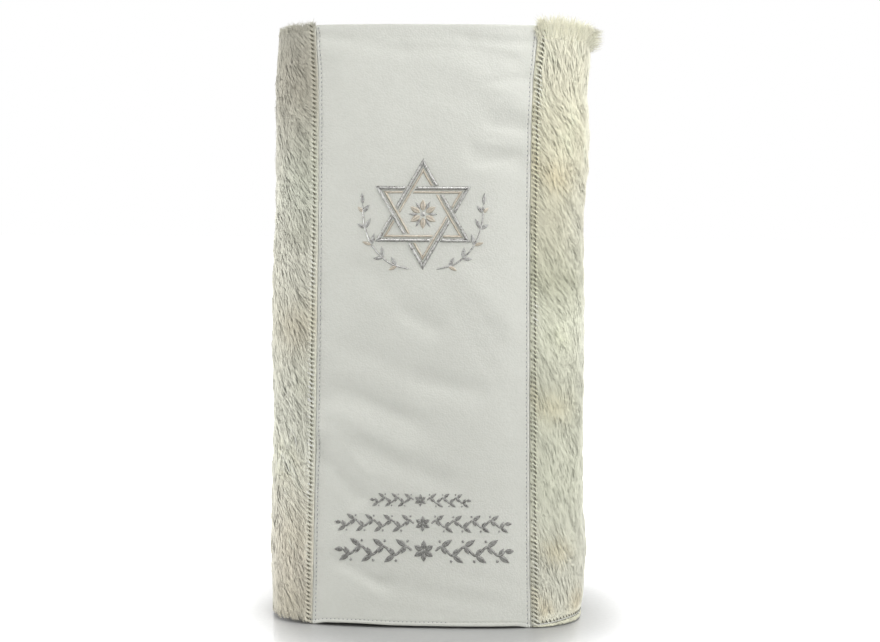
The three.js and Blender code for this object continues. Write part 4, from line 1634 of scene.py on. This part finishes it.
def leaf_row(batch, x1, x2, z1, z2, turns):
    """A waving stem from a flower in the middle to each end, with a leaf and a small one at each bend."""
    x0, z0 = (x1 + x2) / 2, (z1 + z2) / 2
    tall = z2 - z1
    span = (x2 - x1) / 2
    for k in range(6):
        turn = k * np.pi / 3 + np.pi / 6
        base = (x0 + 0.06 * tall * math.cos(turn), z0 + 0.06 * tall * math.sin(turn))
        satin_leaf(batch, base, turn, 0.36 * tall, 0.21 * tall, 0.9)
    satin_dot(batch, x0, z0, 0.16 * tall, 0.9)
    first, last = 0.46 * tall, span - 0.36 * tall
    for way in (-1, 1):
        reach = np.linspace(first, last, turns * 24 + 1)
        phase = (reach - first) / (last - first) * turns * 2 * np.pi
        wave = 0.17 * tall * np.sin(phase)
        path = np.stack([x0 + way * reach, z0 + wave], -1)
        satin_stem(batch, path, 0.085 * tall + 0.35, 0.75)
        for bend in range(turns * 2):
            at = 6 + bend * 12
            up = 1 if bend % 2 == 0 else -1
            turn = up * 0.62
            big = (0.5 * tall, 0.2 * tall, turn)
            small = (0.34 * tall, 0.15 * tall, -up * 1.0)
            for length, width, lean in (big, small):
                heading = lean if way > 0 else np.pi - lean
                satin_leaf(batch, path[at], heading, length, width, 0.85)
            x, z = path[at] + (-way * 0.06 * tall, up * 0.22 * tall)
            satin_dot(batch, x, z, 0.11 * tall, 0.7)
        satin_leaf(batch, path[-1], 0 if way > 0 else np.pi, 0.36 * tall, 0.2 * tall, 0.85)


def embroidery():
    silver, champagne, rows = Batch(), Batch(), Batch()
    star_motif(silver, champagne)
    for row in LEAF_ROWS:
        leaf_row(rows, *row)
    for name, batch, look, slot in (
        ("star_silver", silver, "silver", "thread_silver"),
        ("star_champagne", champagne, "champagne", "thread_champagne"),
        ("leaf_rows", rows, "dark_silver", "thread_silver"),
    ):
        piece = mesh_object(name, batch, [LOOKS[look]])
        values = np.concatenate(batch.values)
        set_values(piece, "Along", values[:, 0])
        # The second value is the painted shade at the satin's edges and creases.
        set_values(piece, "EdgeShade", values[:, 1])


def stitch_piece(name, batch, look):
    piece = mesh_object(name, batch, [LOOKS[look]])
    set_values(piece, "Along", np.zeros(batch.count))
    return piece


# Parts of a side: the range of the panel, and the strands in the under coat and the top coat
COATS = [
    ("front", (0, 0.5), 9000, 13000),
    ("back", (0.5, 1), 6000, 6500),
]
# Length and width of a strand, and how high it rises in the pile from its root to its tip
UNDER_COAT = (22, 1.9, (0.3, 0.6, 0.8))
TOP_COAT = {side: (length, 0.8, (0.85, 1.0, 1.0)) for side, length in TOP_LENGTH.items()}


def side_coats(side, seed):
    """All the hair of a side, with the bands at its seams."""
    coats = [seam_hair("seam_hair_" + side, side, seed + 50)]
    for part, ends, under, top in COATS:
        seed += 10
        where = f"{side}_{part}"
        coats.append(side_hair("under_hair_" + where, side, ends, under, 1, seed, *UNDER_COAT))
        coats.append(side_hair("top_hair_" + where, side, ends, top, 2, seed + 3, *TOP_COAT[side]))
    coats.append(rim_hair(side, seed + 31))
    coats.append(hem_hair(side, seed + 41))
    coats.append(pressed_bands(side))
    return coats


def build():
    front = leather_wall("front_leather", "front", 3.4, "front_panel")
    back = leather_wall("back_leather", "back", 5.5, "back_panel")
    top_board()
    holes, threads = Batch(), Batch()
    for wall, holes_to in (("front", 22), ("back", 2 * HALF_ROUND)):
        seam_topstitches(wall, holes, threads)
        hem_stitches(wall, holes, threads, holes_to)
    board_stitches(threads)
    sewn = [
        stitch_piece("topstitches", threads, "white"),
        stitch_piece("stitch_holes", holes, "shade"),
    ]
    embroidery()
    pits = Batch()
    for side, seed in (("left", 100), ("right", 200)):
        hide = hide_wall(side, "fur_side_" + side)
        coats = side_coats(side, seed)
        if side == "right":
            band, thread = HEM_BAND["size"], HEM_BAND["thread"]
            coats.append(hem_band("hem_band", 0, band, "white"))
            below = HEM_BAND["thread_below"]
            coats.append(hem_band("hem_thread", below, thread, "olive"))
        seam_pits(pits, side)
    stitch_piece("seam_pits", pits, "olive")


bpy.context.scene.view_settings.view_transform = "Standard"
make_camera()
make_light()
make_floor()
build()
